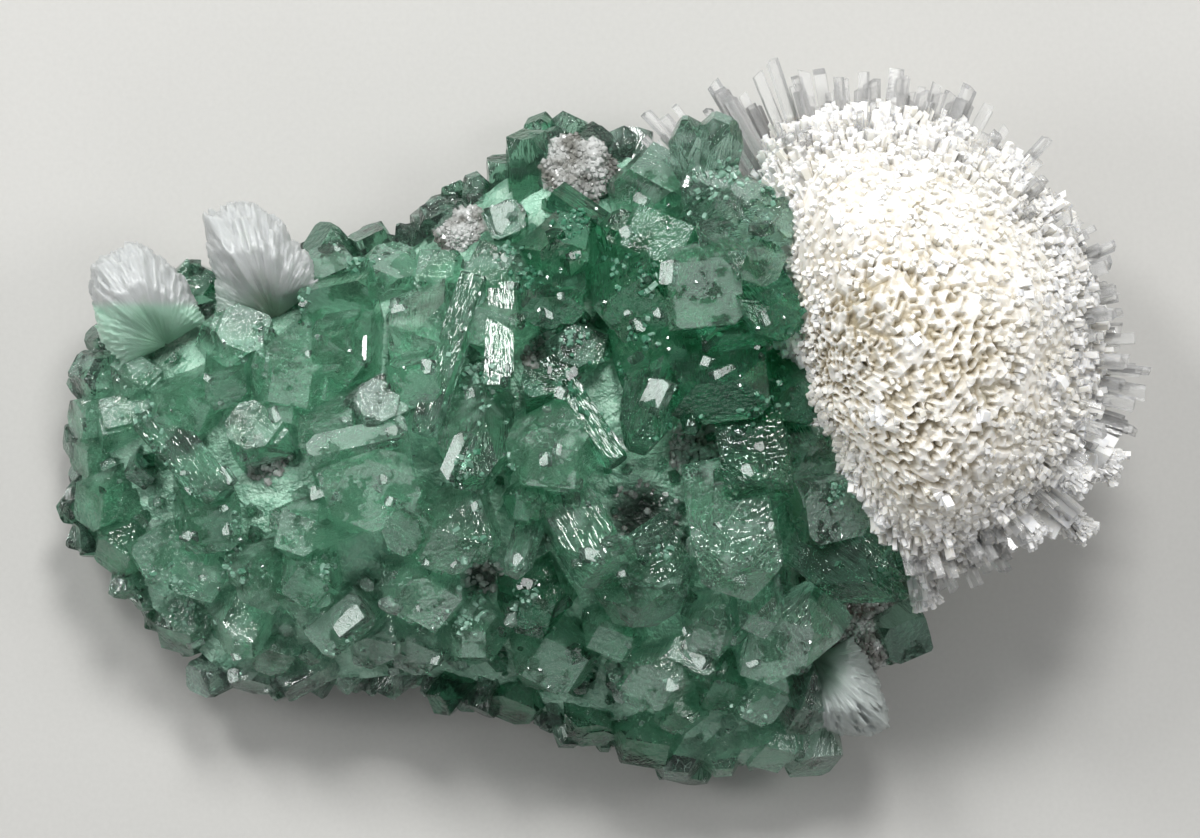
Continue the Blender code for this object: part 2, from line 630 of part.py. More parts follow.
def main():
    clear_scene()
    rock = make_rock()
    ball = make_ball()
    combine(ball, "DIFFERENCE", rock_cutters())
    fans = [make_fan(row) for row in FANS]
    for fan in fans:
        combine(fan, "DIFFERENCE", rock_cutters())
    crust = make_crust()
    neighbours = rock_cutters() + [ball_core("ball_cutter", GAP)]
    neighbours += [hull_of("spine_cutter", corners) for corners in low_spines(GAP)]
    for row in FANS:
        neighbours += fan_cutters(row)
    combine(crust, "DIFFERENCE", neighbours)
    for piece in [ball, crust, *fans]:
        keep_largest_body(piece)
    centre_on_origin([rock, ball, crust, *fans])
    paint(rock, material("basalt", (0.16, 0.15, 0.14), 0.85))
    paint(crust, material("apophyllite", (0.20, 0.48, 0.34), 0.12))
    paint(ball, material("scolecite", (0.86, 0.83, 0.76), 0.45))
    for fan in fans:
        paint(fan, material("stilbite", (0.80, 0.82, 0.78), 0.40))


main()
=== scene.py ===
# %% [markdown]
# # Green apophyllite on basalt, with scolecite and stilbite
#
# This lesson dresses a mineral specimen whose plain solids are already made. Green apophyllite
# crystals cover a plate of dark basalt. A white ball of scolecite prisms stands at the right, and
# three small fans of stilbite blades sit on the edges. The solids give every place and size. Here
# each of them gets the shapes that are too small for a solid, and a finish.
#
# The solids could be textured as they are, but a crystal group lives from hundreds of small flat
# faces and from light that goes through them. So the pieces are built again as real crystals, on
# the same named values as the solids, and they replace them.

import itertools
import math
import random

import bmesh
import bpy
import numpy as np
from mathutils import Matrix, Vector, noise
from mathutils.bvhtree import BVHTree
from mathutils.kdtree import KDTree


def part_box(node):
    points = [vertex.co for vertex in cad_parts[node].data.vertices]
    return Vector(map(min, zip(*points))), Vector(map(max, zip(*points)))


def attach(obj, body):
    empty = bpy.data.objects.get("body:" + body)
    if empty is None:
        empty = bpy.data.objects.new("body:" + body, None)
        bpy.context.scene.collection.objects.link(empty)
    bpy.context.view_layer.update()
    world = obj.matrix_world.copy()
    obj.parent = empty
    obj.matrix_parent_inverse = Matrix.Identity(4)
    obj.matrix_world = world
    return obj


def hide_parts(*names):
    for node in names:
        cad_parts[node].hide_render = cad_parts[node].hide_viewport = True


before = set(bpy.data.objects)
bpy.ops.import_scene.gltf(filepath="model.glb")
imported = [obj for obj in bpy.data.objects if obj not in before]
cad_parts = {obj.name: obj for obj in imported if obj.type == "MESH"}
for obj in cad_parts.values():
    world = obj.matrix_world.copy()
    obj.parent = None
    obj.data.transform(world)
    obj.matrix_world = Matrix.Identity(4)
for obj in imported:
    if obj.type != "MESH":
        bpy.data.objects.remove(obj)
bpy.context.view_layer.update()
MM = 0.001
# Blender's vector noise starts somewhere else in each run unless it gets a seed
noise.seed_set(7)
print("solids:", sorted(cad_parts))

# %% [markdown]
# ## The rock's outline and the tables' own origin
#
# The places of crystals were read in millimetres from a point near the specimen's middle, and the
# finished solids were then centred on the origin. The rock's lowest x and y are known in both, so
# their difference gives the shift, and no number has to be carried over by hand.

# %% Rock values, in millimetres
ROCK_RIM = 9.0
ROCK_CROWN = 26.0
ROCK_WAIST = 4.0
ROCK_CENTRE = (-10.0, -4.0)
ROCK_DOME_POWER = 2.2
ROCK_SWELL = 1.2
# The sawn back's outline beside the widest one
ROCK_BACK = 0.93
ROCK_OUTLINE = [
    (-70.5, 2.3), (-70.5, -14.2), (-62.9, -23.8), (-51.2, -34.1), (-38.1, -34.8),
    (-24.4, -33.4), (-13.3, -36.9), (1.8, -42.4), (12.8, -45.8), (25.2, -44.4),
    (33.4, -38.9), (38.3, -30.7), (44.4, -19.7), (48.6, -7.3), (48.6, 5.1),
    (44.4, 18.9), (33.4, 29.9), (21.1, 34.0), (4.5, 33.0), (-6.5, 36.0),
    (-14.7, 29.9), (-25.7, 21.6), (-40.9, 19.5), (-56.0, 16.1), (-67.0, 9.2),
]
# Knobs of rock that stand out between the crystals: x, y, z, radius
ROCK_KNOBS = [(-4.4, 33.4, 14.0, 5.6), (35.0, -31.6, 9.5, 4.2), (-19.6, 25.4, 13.0, 4.0)]
KNOB_ROUGHNESS = 0.28

rock_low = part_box("basalt_matrix")[0] / MM
TABLE_SHIFT = Vector((
    rock_low.x - min(x for x, y in ROCK_OUTLINE),
    rock_low.y - min(y for x, y in ROCK_OUTLINE),
    0.0,
))
print("shift from the tables to the frame, mm:", [round(v, 3) for v in TABLE_SHIFT])


# %% [markdown]
# ## Small helpers
#
# Every piece here is a mesh written point by point, because a crystal is known by its planes. One
# function turns points in millimetres into a piece that rides on the specimen and stands for its
# solid. A second one stores a value for each point or face, which the materials read. It is the
# way to tell a shader about growth directions, since a crystal's grain follows its own axes.

# %% Pieces and their stored values
def new_object(name, data):
    """An object with this data, linked to the scene."""
    made = bpy.data.objects.new(name, data)
    bpy.context.scene.collection.objects.link(made)
    return made


def add_piece(name, points, faces, node, smooth=False):
    """A mesh from table millimetres that rides on the specimen and replaces this solid."""
    mesh = bpy.data.meshes.new(name)
    placed = (np.asarray(points, float) + np.array(TABLE_SHIFT)) * MM
    mesh.from_pydata(placed.tolist(), [], faces)
    mesh.update()
    if smooth:
        mesh.polygons.foreach_set("use_smooth", [True] * len(mesh.polygons))
    piece = new_object(name, mesh)
    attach(piece, "root")
    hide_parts(node)
    triangles = sum(len(face) - 2 for face in faces)
    print(f"{name}: {len(placed)} points, {triangles} triangles")
    return piece


def append_form(points, faces, form_points, form_faces):
    """Adds one more form to the points and faces of a mesh in the making."""
    first = len(points)
    points.extend(form_points)
    faces.extend(tuple(first + i for i in face) for face in form_faces)


def store(piece, name, domain, values):
    """Keeps one number, or one vector, for each point or face of the piece."""
    values = np.asarray(values, np.float32)
    kind = "FLOAT" if values.ndim == 1 else "FLOAT_VECTOR"
    layer = piece.data.attributes.new(name, kind, domain)
    layer.data.foreach_set("value" if kind == "FLOAT" else "vector", values.ravel())


def paint(piece, material):
    """Gives the whole piece this one material."""
    piece.data.materials.clear()
    piece.data.materials.append(material)


# %% [markdown]
# Colours are written as the sRGB hex values that a colour picker shows, and one function turns
# them to the linear values that the shaders work in. A second small function adds any shader node:
# it takes the node's fields, and for each input either a value or the output to link to it.

# %% Colours and shader nodes
def linear(hex_colour):
    """The linear colour of an sRGB hex value such as #7fa08c."""
    parts = [int(hex_colour[i:i + 2], 16) / 255 for i in (1, 3, 5)]
    return [c / 12.92 if c <= 0.04045 else ((c + 0.055) / 1.055) ** 2.4 for c in parts]


def fill(node, inputs):
    """Sets or links each of these inputs of a node."""
    for key, value in inputs.items():
        if isinstance(value, bpy.types.NodeSocket):
            node.id_data.links.new(value, node.inputs[key])
        elif isinstance(value, str):
            node.inputs[key].default_value = (*linear(value), 1)
        else:
            node.inputs[key].default_value = value
    return node


def add_node(tree, kind, inputs=None, **fields):
    """A node of this kind with its fields set and its inputs set or linked."""
    node = tree.nodes.new("ShaderNode" + kind)
    for field, value in fields.items():
        setattr(node, field, value)
    return fill(node, inputs or {})


def new_material(name):
    """A material with its node tree and its main shader."""
    material = bpy.data.materials.new(name)
    material.use_nodes = True
    return material, material.node_tree, material.node_tree.nodes["Principled BSDF"]


# %% [markdown]
# ## Camera, light and floor
#
# The specimen lies on its flat back and is seen from straight above, with its fans towards the
# top of the picture. A long lens from far away keeps the outline close to a flat plan, as the
# photograph has it. The picture is 1200 pixels wide and covers 165 mm at the crystals' height.

# %% Camera
# Width of the view, its middle beside the origin, and the height at which it is measured, in mm
VIEW_WIDTH = 165.1
VIEW_MIDDLE = (-0.74, 0.78)
VIEW_HEIGHT = 20.0
CAMERA_DISTANCE = 900.0
SENSOR = 36.0
# Nearest and farthest that the camera sees, in metres
CLIP = (0.05, 20.0)

lens = bpy.data.cameras.new("camera")
lens.sensor_width = SENSOR
lens.lens = SENSOR * CAMERA_DISTANCE / VIEW_WIDTH
lens.clip_start, lens.clip_end = CLIP
camera = new_object("camera", lens)
camera.location = (
    VIEW_MIDDLE[0] * MM, VIEW_MIDDLE[1] * MM, (VIEW_HEIGHT + CAMERA_DISTANCE) * MM,
)
bpy.context.scene.camera = camera
print("lens:", round(lens.lens, 1), "mm")

# %% [markdown]
# Glassy faces are seen by what they mirror. Two bright softboxes at the top of the picture give
# the sharp white glints. Three dim and wider ones open the shadows, and a face that mirrors one of
# them looks pale all over. The room around is a soft grey that is lighter towards the top of the
# picture. Light that has gone through a crystal reaches what is behind it only by chance, so large
# lights and a bright room also keep the render clean.

# %% Softboxes
# Name, bearing and height above level in degrees, distance, width and height in metres, watts
SOFTBOXES = [
    ("key", 80, 50, 0.75, 0.22, 0.18, 4.0),
    ("top_left", 128, 40, 0.75, 0.12, 0.24, 2.5),
    ("left", 172, 34, 0.8, 0.26, 0.26, 1.4),
    ("right", 12, 40, 0.8, 0.26, 0.26, 1.4),
    ("front", -95, 34, 0.9, 0.50, 0.30, 0.9),
]
# All of them point at the specimen's middle, in metres
AIM_POINT = Vector((0, 0, 0.02))

for name, bearing_angle, rise_angle, distance, width, height, power in SOFTBOXES:
    light = bpy.data.lights.new(name, "AREA")
    light.shape = "RECTANGLE"
    light.size = width
    light.size_y = height
    light.energy = power
    lamp = new_object(name, light)
    turned, raised = math.radians(bearing_angle), math.radians(rise_angle)
    back = Vector((
        math.cos(turned) * math.cos(raised), math.sin(turned) * math.cos(raised), math.sin(raised),
    ))
    lamp.location = AIM_POINT + back * distance
    lamp.rotation_euler = (-back).to_track_quat("-Z", "Y").to_euler()
print("softboxes:", len(SOFTBOXES))

# %% The room
ROOM_DARK = 0.09
ROOM_BRIGHT = 0.40
# The room is brightest in this direction, and grows dark and bright at these cosines to it
ROOM_BRIGHT_SIDE = (-0.2, 0.87, 0.45)
ROOM_FADE = (-0.4, 0.95)

world = bpy.data.worlds.new("room")
world.use_nodes = True
bpy.context.scene.world = world
tree = world.node_tree
direction = add_node(tree, "TexCoord").outputs["Generated"]
facing = add_node(tree, "VectorMath", {
    0: direction, 1: ROOM_BRIGHT_SIDE,
}, operation="DOT_PRODUCT")
climb = add_node(tree, "MapRange", {
    "Value": facing.outputs["Value"], "From Min": ROOM_FADE[0], "From Max": ROOM_FADE[1],
    "To Min": ROOM_DARK, "To Max": ROOM_BRIGHT,
})
fill(tree.nodes["Background"], {"Color": "#f2f5fa", "Strength": climb.outputs[0]})
print("room:", ROOM_DARK, "to", ROOM_BRIGHT)

# %% [markdown]
# The floor is a sheet of pale matt paper, so large that the picture never shows its edge. A very
# fine mottle keeps it from looking like a computed plane.

# %% Floor
# Length of its side in metres, and the cells along a side
FLOOR_SIZE = 2.4
FLOOR_CELLS = 24

marks = [(i / FLOOR_CELLS - 0.5) * FLOOR_SIZE for i in range(FLOOR_CELLS + 1)]
floor_points = [(x, y, 0.0) for y in marks for x in marks]
floor_faces = []
for j in range(FLOOR_CELLS):
    for i in range(FLOOR_CELLS):
        corner = j * (FLOOR_CELLS + 1) + i
        floor_faces.append((corner, corner + 1, corner + FLOOR_CELLS + 2, corner + FLOOR_CELLS + 1))
floor_mesh = bpy.data.meshes.new("floor")
floor_mesh.from_pydata(floor_points, [], floor_faces)
floor = new_object("floor", floor_mesh)

paper, tree, shader = new_material("pale_paper")
place = add_node(tree, "TexCoord").outputs["Object"]
# Paper fibres of about 0.7 mm
fibres = add_node(tree, "TexNoise", {"Vector": place, "Scale": 1 / (0.7 * MM), "Detail": 3.0})
shade = add_node(tree, "Mix", {
    0: fibres.outputs[0], 6: "#b9b8b4", 7: "#c1c0bc",
}, data_type="RGBA")
fill(shader, {"Base Color": shade.outputs[2], "Roughness": 0.9})
paint(floor, paper)
print("floor:", FLOOR_SIZE, "m wide,", len(floor_faces), "cells")

# %% [markdown]
# The colours are shown as they are, without a film look. Light may pass several faces on its way
# through a crystal, so it gets more bounces through clear faces than off dull ones. Paths that
# come out far too bright by chance are held back, which takes the single white dots out.

# %% Settings that belong to the look
scene = bpy.context.scene
scene.view_settings.view_transform = "Standard"
scene.view_settings.look = "None"
scene.view_settings.exposure = 0.0
scene.cycles.max_bounces = 7
scene.cycles.diffuse_bounces = 3
scene.cycles.glossy_bounces = 3
scene.cycles.transmission_bounces = 5
scene.cycles.sample_clamp_indirect = 5.0
print("bounces:", scene.cycles.max_bounces)


# %% [markdown]
# ## The rock
#
# Basalt is a fine-grained, almost black lava. Here it was sawn flat at the back, and its skin is
# broken and pitted. Only the rim, the knobs, the part under the ball and the back stay bare. A
# grid is wrapped round the slab: its points run from the middle of the top over the edge to the
# middle of the back, and noise roughens all but the sawn part.

# %% How far the rock reaches, and how high
def rim_distance(angle):
    """How far the rock's outline is from its centre in this direction."""
    out = Vector((math.cos(angle), math.sin(angle)))
    centre = Vector(ROCK_CENTRE)
    found = []
    for start, end in zip(ROCK_OUTLINE, ROCK_OUTLINE[1:] + ROCK_OUTLINE[:1]):
        a = Vector(start) - centre
        side = Vector(end) - Vector(start)
        cross = out.x * side.y - out.y * side.x
        if abs(cross) < 1e-9:
            continue
        reach = (a.x * side.y - a.y * side.x) / cross
        along = (a.x * out.y - a.y * out.x) / cross
        if reach > 0 and -1e-4 <= along <= 1 + 1e-4:
            found.append(reach)
    return max(found)


def rock_share(x, y):
    """0 at the rock's centre and 1 at its outline."""
    dx, dy = x - ROCK_CENTRE[0], y - ROCK_CENTRE[1]
    return math.hypot(dx, dy) / rim_distance(math.atan2(dy, dx))


def rock_height(x, y):
    """How high the rock's skin is: a low dome with a slight swell."""
    share = min(rock_share(x, y), 1.0)
    dome = ROCK_RIM + (ROCK_CROWN - ROCK_RIM) * (1 - share**ROCK_DOME_POWER)
    return dome + ROCK_SWELL * math.sin(0.21 * x + 1) * math.cos(0.17 * y)


print("rock height at its centre, mm:", round(rock_height(*ROCK_CENTRE), 1))


# %% Wrap a grid round the slab
AROUND = 180
# Shares of the reach on the top, heights on the side as shares of the rim's height, and shares
# on the sawn back
TOP_SHARES = [0.03, 0.08] + [0.14 + 0.86 * i / 22 for i in range(23)]
SIDE_STEPS = 9


def wrapped_slab(swell, foot, roughen):
    """Points and faces of the slab, its skin moved out by swell(x, y) and cut off at foot."""
    points = [Vector((*ROCK_CENTRE, rock_height(*ROCK_CENTRE) + swell(*ROCK_CENTRE)))]
    rings = []
    for share in TOP_SHARES:
        rings.append([(share, None)] * AROUND)
    for step in range(1, SIDE_STEPS + 1):
        rings.append([(1.0, step / SIDE_STEPS)] * AROUND)
    for ring in rings:
        for i, (share, drop) in enumerate(ring):
            angle = 2 * math.pi * i / AROUND
            out = Vector((math.cos(angle), math.sin(angle), 0))
            rim = rim_distance(angle)
            x = ROCK_CENTRE[0] + out.x * rim * share
            y = ROCK_CENTRE[1] + out.y * rim * share
            extra = swell(x, y)
            z = rock_height(x, y) + extra
            outward = extra * share
            if drop is not None:
                top_z = z
                z = top_z + (foot - top_z) * drop
                waist = min(max((z - foot) / max(ROCK_WAIST - foot, 0.1), 0), 1)
                outward = extra + rim * (ROCK_BACK - 1) * (1 - waist) * (foot < ROCK_WAIST)
            point = Vector((x, y, z)) + out * outward
            depth = 1.0 if drop is None else min(1.0, 4 * (1 - drop))
            points.append(point + roughen(point) * depth)
    last = len(points)
    points.append(Vector((*ROCK_CENTRE, foot)))
    faces = [(0, 1 + i, 1 + (i + 1) % AROUND) for i in range(AROUND)]
    for ring in range(len(rings) - 1):
        low, high = 1 + ring * AROUND, 1 + (ring + 1) * AROUND
        for i in range(AROUND):
            j = (i + 1) % AROUND
            faces.append((low + i, high + i, high + j, low + j))
    start = last - AROUND
    faces += [(start + (i + 1) % AROUND, start + i, last) for i in range(AROUND)]
    return points, faces


# The rock's skin lies this much under the height that the crystals are rooted at
ROCK_SINK = 0.5


def broken_skin(point):
    """Broken lava: lumps of about 5 mm, and pits of about 1 mm."""
    coarse = noise.noise_vector(point * 0.22) * 0.7
    fine = noise.noise_vector(point * 0.9) * 0.35
    return coarse + fine


rock_points, rock_faces = wrapped_slab(lambda x, y: -ROCK_SINK, 0.0, broken_skin)
rock = add_piece("rock", rock_points, rock_faces, "basalt_matrix", smooth=True)


# %% Knobs
def icosphere(steps):
    """Unit points and faces of a ball of triangles."""
    mesh = bpy.data.meshes.new("ball")
    bm = bmesh.new()
    bmesh.ops.create_icosphere(bm, subdivisions=steps, radius=1)
    bm.to_mesh(mesh)
    bm.free()
    points = [vert.co.copy() for vert in mesh.vertices]
    faces = [tuple(face.vertices) for face in mesh.polygons]
    bpy.data.meshes.remove(mesh)
    return points, faces


# The druse stands on the knobs, so their own skin is this much under it, in mm
KNOB_SINK = 0.4


def lump(middle, radius):
    """A rough ball of rock."""
    points, faces = icosphere(5)
    made = []
    for point in points:
        rough = 1 + KNOB_ROUGHNESS * noise.noise(point * 1.7 + middle)
        fine = 0.35 * noise.noise(point * radius * 1.1 + middle)
        made.append(middle + point * (radius * rough - KNOB_SINK + fine))
    return made, faces


knob_points = []
knob_faces = []
for x, y, z, radius in ROCK_KNOBS:
    append_form(knob_points, knob_faces, *lump(Vector((x, y, z)), radius))
knobs = add_piece("rock_knobs", knob_points, knob_faces, "basalt_matrix", smooth=True)

# %% [markdown]
# Fresh basalt is charcoal grey with a brown weathered skin and small pale specks where minerals
# fill its bubbles. It is dull to the eye. The grains are half a millimetre wide, the specks one
# millimetre apart, and the stains several millimetres.

# %% Basalt
basalt, tree, shader = new_material("weathered_basalt")
place = add_node(tree, "TexCoord").outputs["Object"]
grains = add_node(tree, "TexNoise", {"Vector": place, "Scale": 1 / (0.5 * MM), "Detail": 5.0})
stains = add_node(tree, "TexNoise", {"Vector": place, "Scale": 1 / (6 * MM), "Detail": 4.0})
specks = add_node(tree, "TexVoronoi", {"Vector": place, "Scale": 1 / (1.1 * MM)})
grain_colour = add_node(tree, "Mix", {
    0: grains.outputs[0], 6: "#2b2825", 7: "#6d675f",
}, data_type="RGBA")
stained = add_node(tree, "MapRange", {
    "Value": stains.outputs[0], "From Min": 0.48, "From Max": 0.66, "To Max": 0.6,
})
skin_colour = add_node(tree, "Mix", {
    0: stained.outputs[0], 6: grain_colour.outputs[2], 7: "#6b5a47",
}, data_type="RGBA")
speck = add_node(tree, "MapRange", {
    "Value": specks.outputs["Distance"], "From Min": 0.2, "From Max": 0.12, "To Max": 0.7,
})
speckled = add_node(tree, "Mix", {
    0: speck.outputs[0], 6: skin_colour.outputs[2], 7: "#a39e95",
}, data_type="RGBA")
relief = add_node(tree, "Bump", {
    "Height": grains.outputs[0], "Strength": 0.8, "Distance": 0.3 * MM,
})
fill(shader, {
    "Base Color": speckled.outputs[2], "Roughness": 0.82, "Normal": relief.outputs[0],
})
paint(rock, basalt)
print("nodes in the basalt material:", len(tree.nodes))


# %% [markdown]
# ## The bed of small crystals
#
# Between the large green crystals the rock is covered by a crust of very small ones. From a
# distance it is a rough pale green skin. It is wrapped round the slab like the rock, with bumps
# in the size of its crystals, and it thins out to the right, where the white ball grows on bare
# rock. In a few hollows the crust is thin and darkened by painted shade, and grains of quartz show
# there.

# %% Bed values, in millimetres
BED_THICKNESS = 2.4
CRUST_FOOT = 4.0
BED_RIGHT_EDGE = 27.0
# Over this width the bed thins out at its right edge, until it is this far under the rock
BED_FADE = 4.0
BED_SUNK = 1.2
# Hollows between the crystals: x, y, radius, depth, how much druse is in it
HOLLOWS = [
    (13.6, -4.5, 5.2, 1.8, 1.0), (4.8, -14.0, 5.4, 1.6, 0.12), (-32.0, 0.6, 3.0, 0.8, 0.5),
    (-7.0, 8.0, 4.6, 1.2, 0.5), (-17.0, -21.6, 3.2, 1.4, 0.3), (-47.0, -6.0, 3.0, 0.6, 0.5),
]


def hollow_share(x, y):
    """1 in the middle of a hollow and 0 outside it."""
    return max(0.0, *(1 - math.hypot(x - hx, y - hy) / r for hx, hy, r, _, _ in HOLLOWS))


def bed_swell(x, y):
    """The bed's thickness, less in the hollows and none to the right."""
    thick = BED_THICKNESS
    for hx, hy, radius, depth, _ in HOLLOWS:
        near = max(1 - math.hypot(x - hx, y - hy) / radius, 0)
        thick -= depth * min(1, 2 * near)
    fade = min(max((BED_RIGHT_EDGE + 1 - x) / BED_FADE, 0), 1)
    return thick * fade - BED_SUNK * (1 - fade)


def bed_bumps(point):
    """Bumps in the size of the bed's crystals, about 1.5 mm across."""
    near = noise.voronoi(point * 0.7)[0][0]
    return noise.noise_vector(point * 0.5) * 0.5 + Vector((0, 0, 0.9 * (0.45 - near)))


bed_points, bed_faces = wrapped_slab(bed_swell, CRUST_FOOT, bed_bumps)
bed = add_piece("apophyllite_bed", bed_points, bed_faces, "apophyllite_crust")
# The hollow share also darkens the crust there, as painted shade
store(bed, "hollow", "POINT", [min(1, 2.2 * hollow_share(p.x, p.y)) for p in bed_points])

# %% [markdown]
# The bed is not clear like the large crystals: it scatters light at thousands of tiny faces. So it
# is opaque, pale to mid green, with a sharp fine relief that sparkles. In the hollows the colour
# turns to a dark grey green, darkest between the tiny grains: painted shade in the hollows.

# %% Bed finish
crust, tree, shader = new_material("apophyllite_crust_of_tiny_crystals")
place = add_node(tree, "TexCoord").outputs["Object"]
patch_noise = add_node(tree, "TexNoise", {"Vector": place, "Scale": 1 / (6 * MM), "Detail": 4.0})
patches = add_node(tree, "MapRange", {
    "Value": patch_noise.outputs[0], "From Min": 0.36, "From Max": 0.62,
})
# Crystals of about 0.6 and 1.5 mm
tiny = add_node(tree, "TexVoronoi", {"Vector": place, "Scale": 1 / (0.6 * MM)})
larger = add_node(tree, "TexVoronoi", {"Vector": place, "Scale": 1 / (1.5 * MM)})
green = add_node(tree, "Mix", {
    0: patches.outputs[0], 6: "#356f54", 7: "#9ccab2",
}, data_type="RGBA")
# Each of the larger cells is paler by another amount
cell_value = add_node(tree, "SeparateXYZ", {0: larger.outputs["Color"]})
varied = add_node(tree, "Mix", {
    0: cell_value.outputs[0], 6: green.outputs[2], 7: "#bcdcc8",
}, data_type="RGBA")
half = add_node(tree, "Mix", {0: 0.5, 6: green.outputs[2], 7: varied.outputs[2]}, data_type="RGBA")
hollow = add_node(tree, "Attribute", attribute_name="hollow")
# Painted shade in the hollows: dark grey green, darker still between the tiny grains
painted_hollow_shade = add_node(tree, "Mix", {
    0: tiny.outputs["Distance"], 6: "#46534a", 7: "#1b251f",
}, data_type="RGBA")
crust_colour = add_node(tree, "Mix", {
    0: hollow.outputs["Fac"], 6: half.outputs[2], 7: painted_hollow_shade.outputs[2],
}, data_type="RGBA")
grit = add_node(tree, "TexNoise", {"Vector": place, "Scale": 1 / (0.5 * MM), "Detail": 1.0})
relief = add_node(tree, "Bump", {
    "Height": grit.outputs[0], "Strength": 1.0, "Distance": 0.5 * MM,
})
fill(shader, {
    "Base Color": crust_colour.outputs[2], "Roughness": 0.28, "IOR": 1.535,
    "Normal": relief.outputs[0],
})
paint(bed, crust)


# %% [markdown]
# ## One apophyllite crystal
#
# Apophyllite grows as a square prism. Its base is a flat face with a pearly lustre, its sides
# carry fine lines along the length, and a steep pyramid cuts its corners, sometimes so far that
# the crystal comes to a point. Such a form is the space behind a dozen planes. So a crystal is
# written as its planes, and the corners follow: each three planes meet in a point, and the point
# counts if it lies behind all the others.

# %% Corners and faces from planes
# Two corners nearer than this are one, and a corner this near to a plane is on it, in mm
SAME_CORNER = 2e-3
ON_PLANE = 3e-3


def solid_of(planes):
    """Corners of the solid behind (normal, distance) planes, and the corners round each face."""
    normals = np.array([normal for normal, reach in planes], float)
    normals /= np.linalg.norm(normals, axis=1)[:, None]
    reaches = np.array([reach for normal, reach in planes], float)
    triples = np.array(list(itertools.combinations(range(len(planes)), 3)))
    systems = normals[triples]
    usable = np.abs(np.linalg.det(systems)) > 1e-5
    found = np.linalg.solve(systems[usable], reaches[triples[usable]][..., None])[..., 0]
    found = found[np.all(found @ normals.T <= reaches + 1e-5, axis=1)]
    corners = []
    for point in found:
        if all(np.abs(point - other).max() > SAME_CORNER for other in corners):
            corners.append(point)
    corners = np.array(corners)
    faces = []
    for normal, reach in zip(normals, reaches):
        on_face = np.nonzero(np.abs(corners @ normal - reach) < ON_PLANE)[0]
        if len(on_face) < 3:
            faces.append(())
            continue
        middle = corners[on_face].mean(0)
        first = corners[on_face[0]] - middle
        across = np.cross(normal, first)
        arms = corners[on_face] - middle
        forward = arms @ first / np.linalg.norm(first)
        sideways = arms @ across / np.linalg.norm(across)
        order = np.argsort(np.arctan2(sideways, forward))
        faces.append(tuple(int(i) for i in on_face[order]))
    return corners, faces


# %% The planes of a crystal
PYRAMID_SLOPE = math.radians(60)
# How much longer the buried end of a large crystal is, in mm
ROOT_LENGTH = 4.0
# Each corner is cut at least by this share
LEAST_CUT = 0.02
# What a face is: its base, a side or a pyramid face
BASE, SIDE, PYRAMID = 1.0, 0.5, 0.0


def crystal_planes(half_a, half_b, top, cut, root=ROOT_LENGTH, draw=None, uneven=0.0):
    """(normal, distance) of each face about the crystal's middle, and what each face is.

    A cut of 0 leaves the prism whole, and at 1 the pyramid faces meet in a point. With draw, each
    corner is cut by up to uneven more or less.
    """
    side = math.sin(PYRAMID_SLOPE) / math.sqrt(2)
    rise = math.cos(PYRAMID_SLOPE)
    corner = side * (half_a + half_b) + rise * top
    planes = [((0, 0, 1), top), ((0, 0, -1), top + root)]
    kinds = [BASE, SIDE]
    for sign in (1, -1):
        planes += [((sign, 0, 0), half_a), ((0, sign, 0), half_b)]
        kinds += [SIDE, SIDE]
        for across in (1, -1):
            share = cut + (draw.uniform(-uneven, uneven) if draw else 0)
            reach = corner + max(share, LEAST_CUT) * (rise * top - corner)
            planes.append(((sign * side, across * side, rise), reach))
            kinds.append(PYRAMID)
    return planes, kinds


sample_corners, sample_faces = solid_of(crystal_planes(4, 4, 4, 0.5)[0])
print("a crystal has", len(sample_corners), "corners and", len(sample_faces), "faces")

# %% [markdown]
# A pile gathers many closed crystals in one mesh. With each it keeps what its finish needs: the
# place of every corner along the crystal's own axes, in millimetres, how deep its green is, which
# face is the pearly base, and whether its faces are calm, frosted or crowded with small pyramids.

# %% A pile of crystals
class Pile:
    """Many crystals gathered for one mesh."""

    def __init__(self):
        self.points = []
        self.faces = []
        self.grain = []
        self.values = {"pearl": [], "tone": [], "calm": [], "frost": [], "rough": []}

    def add(self, planes, kinds, stance, seed, **values):
        """One crystal from its planes, the matrix that places it, and values of its finish."""
        corners, faces = solid_of(planes)
        corners = [Vector(corner) for corner in corners]
        shown = [(face, kind) for face, kind in zip(faces, kinds) if len(face) > 2]
        placed = [stance @ corner for corner in corners]
        append_form(self.points, self.faces, placed, [face for face, kind in shown])
        self.grain += [corner + grain_offset(seed) for corner in corners]
        for name, gathered in self.values.items():
            if name == "pearl":
                gathered += [float(kind == BASE) for face, kind in shown]
            else:
                gathered += [values.get(name, 0.0)] * len(shown)


def grain_offset(seed):
    """Where in the endless pattern of clouds and lines this crystal lies."""
    return Vector((seed * 7.3 % 61, seed * 3.1 % 47, seed * 5.7 % 53))


print("values for each face:", list(Pile().values))


# %% [markdown]
# ## The large crystals
#
# Each row is one crystal of the specimen: where it stands, how large it is, how it leans and how
# far its corners are cut. The heights count from the rock's skin, so that every crystal stays
# rooted if the rock changes. All these rows are the same as those of the solid.

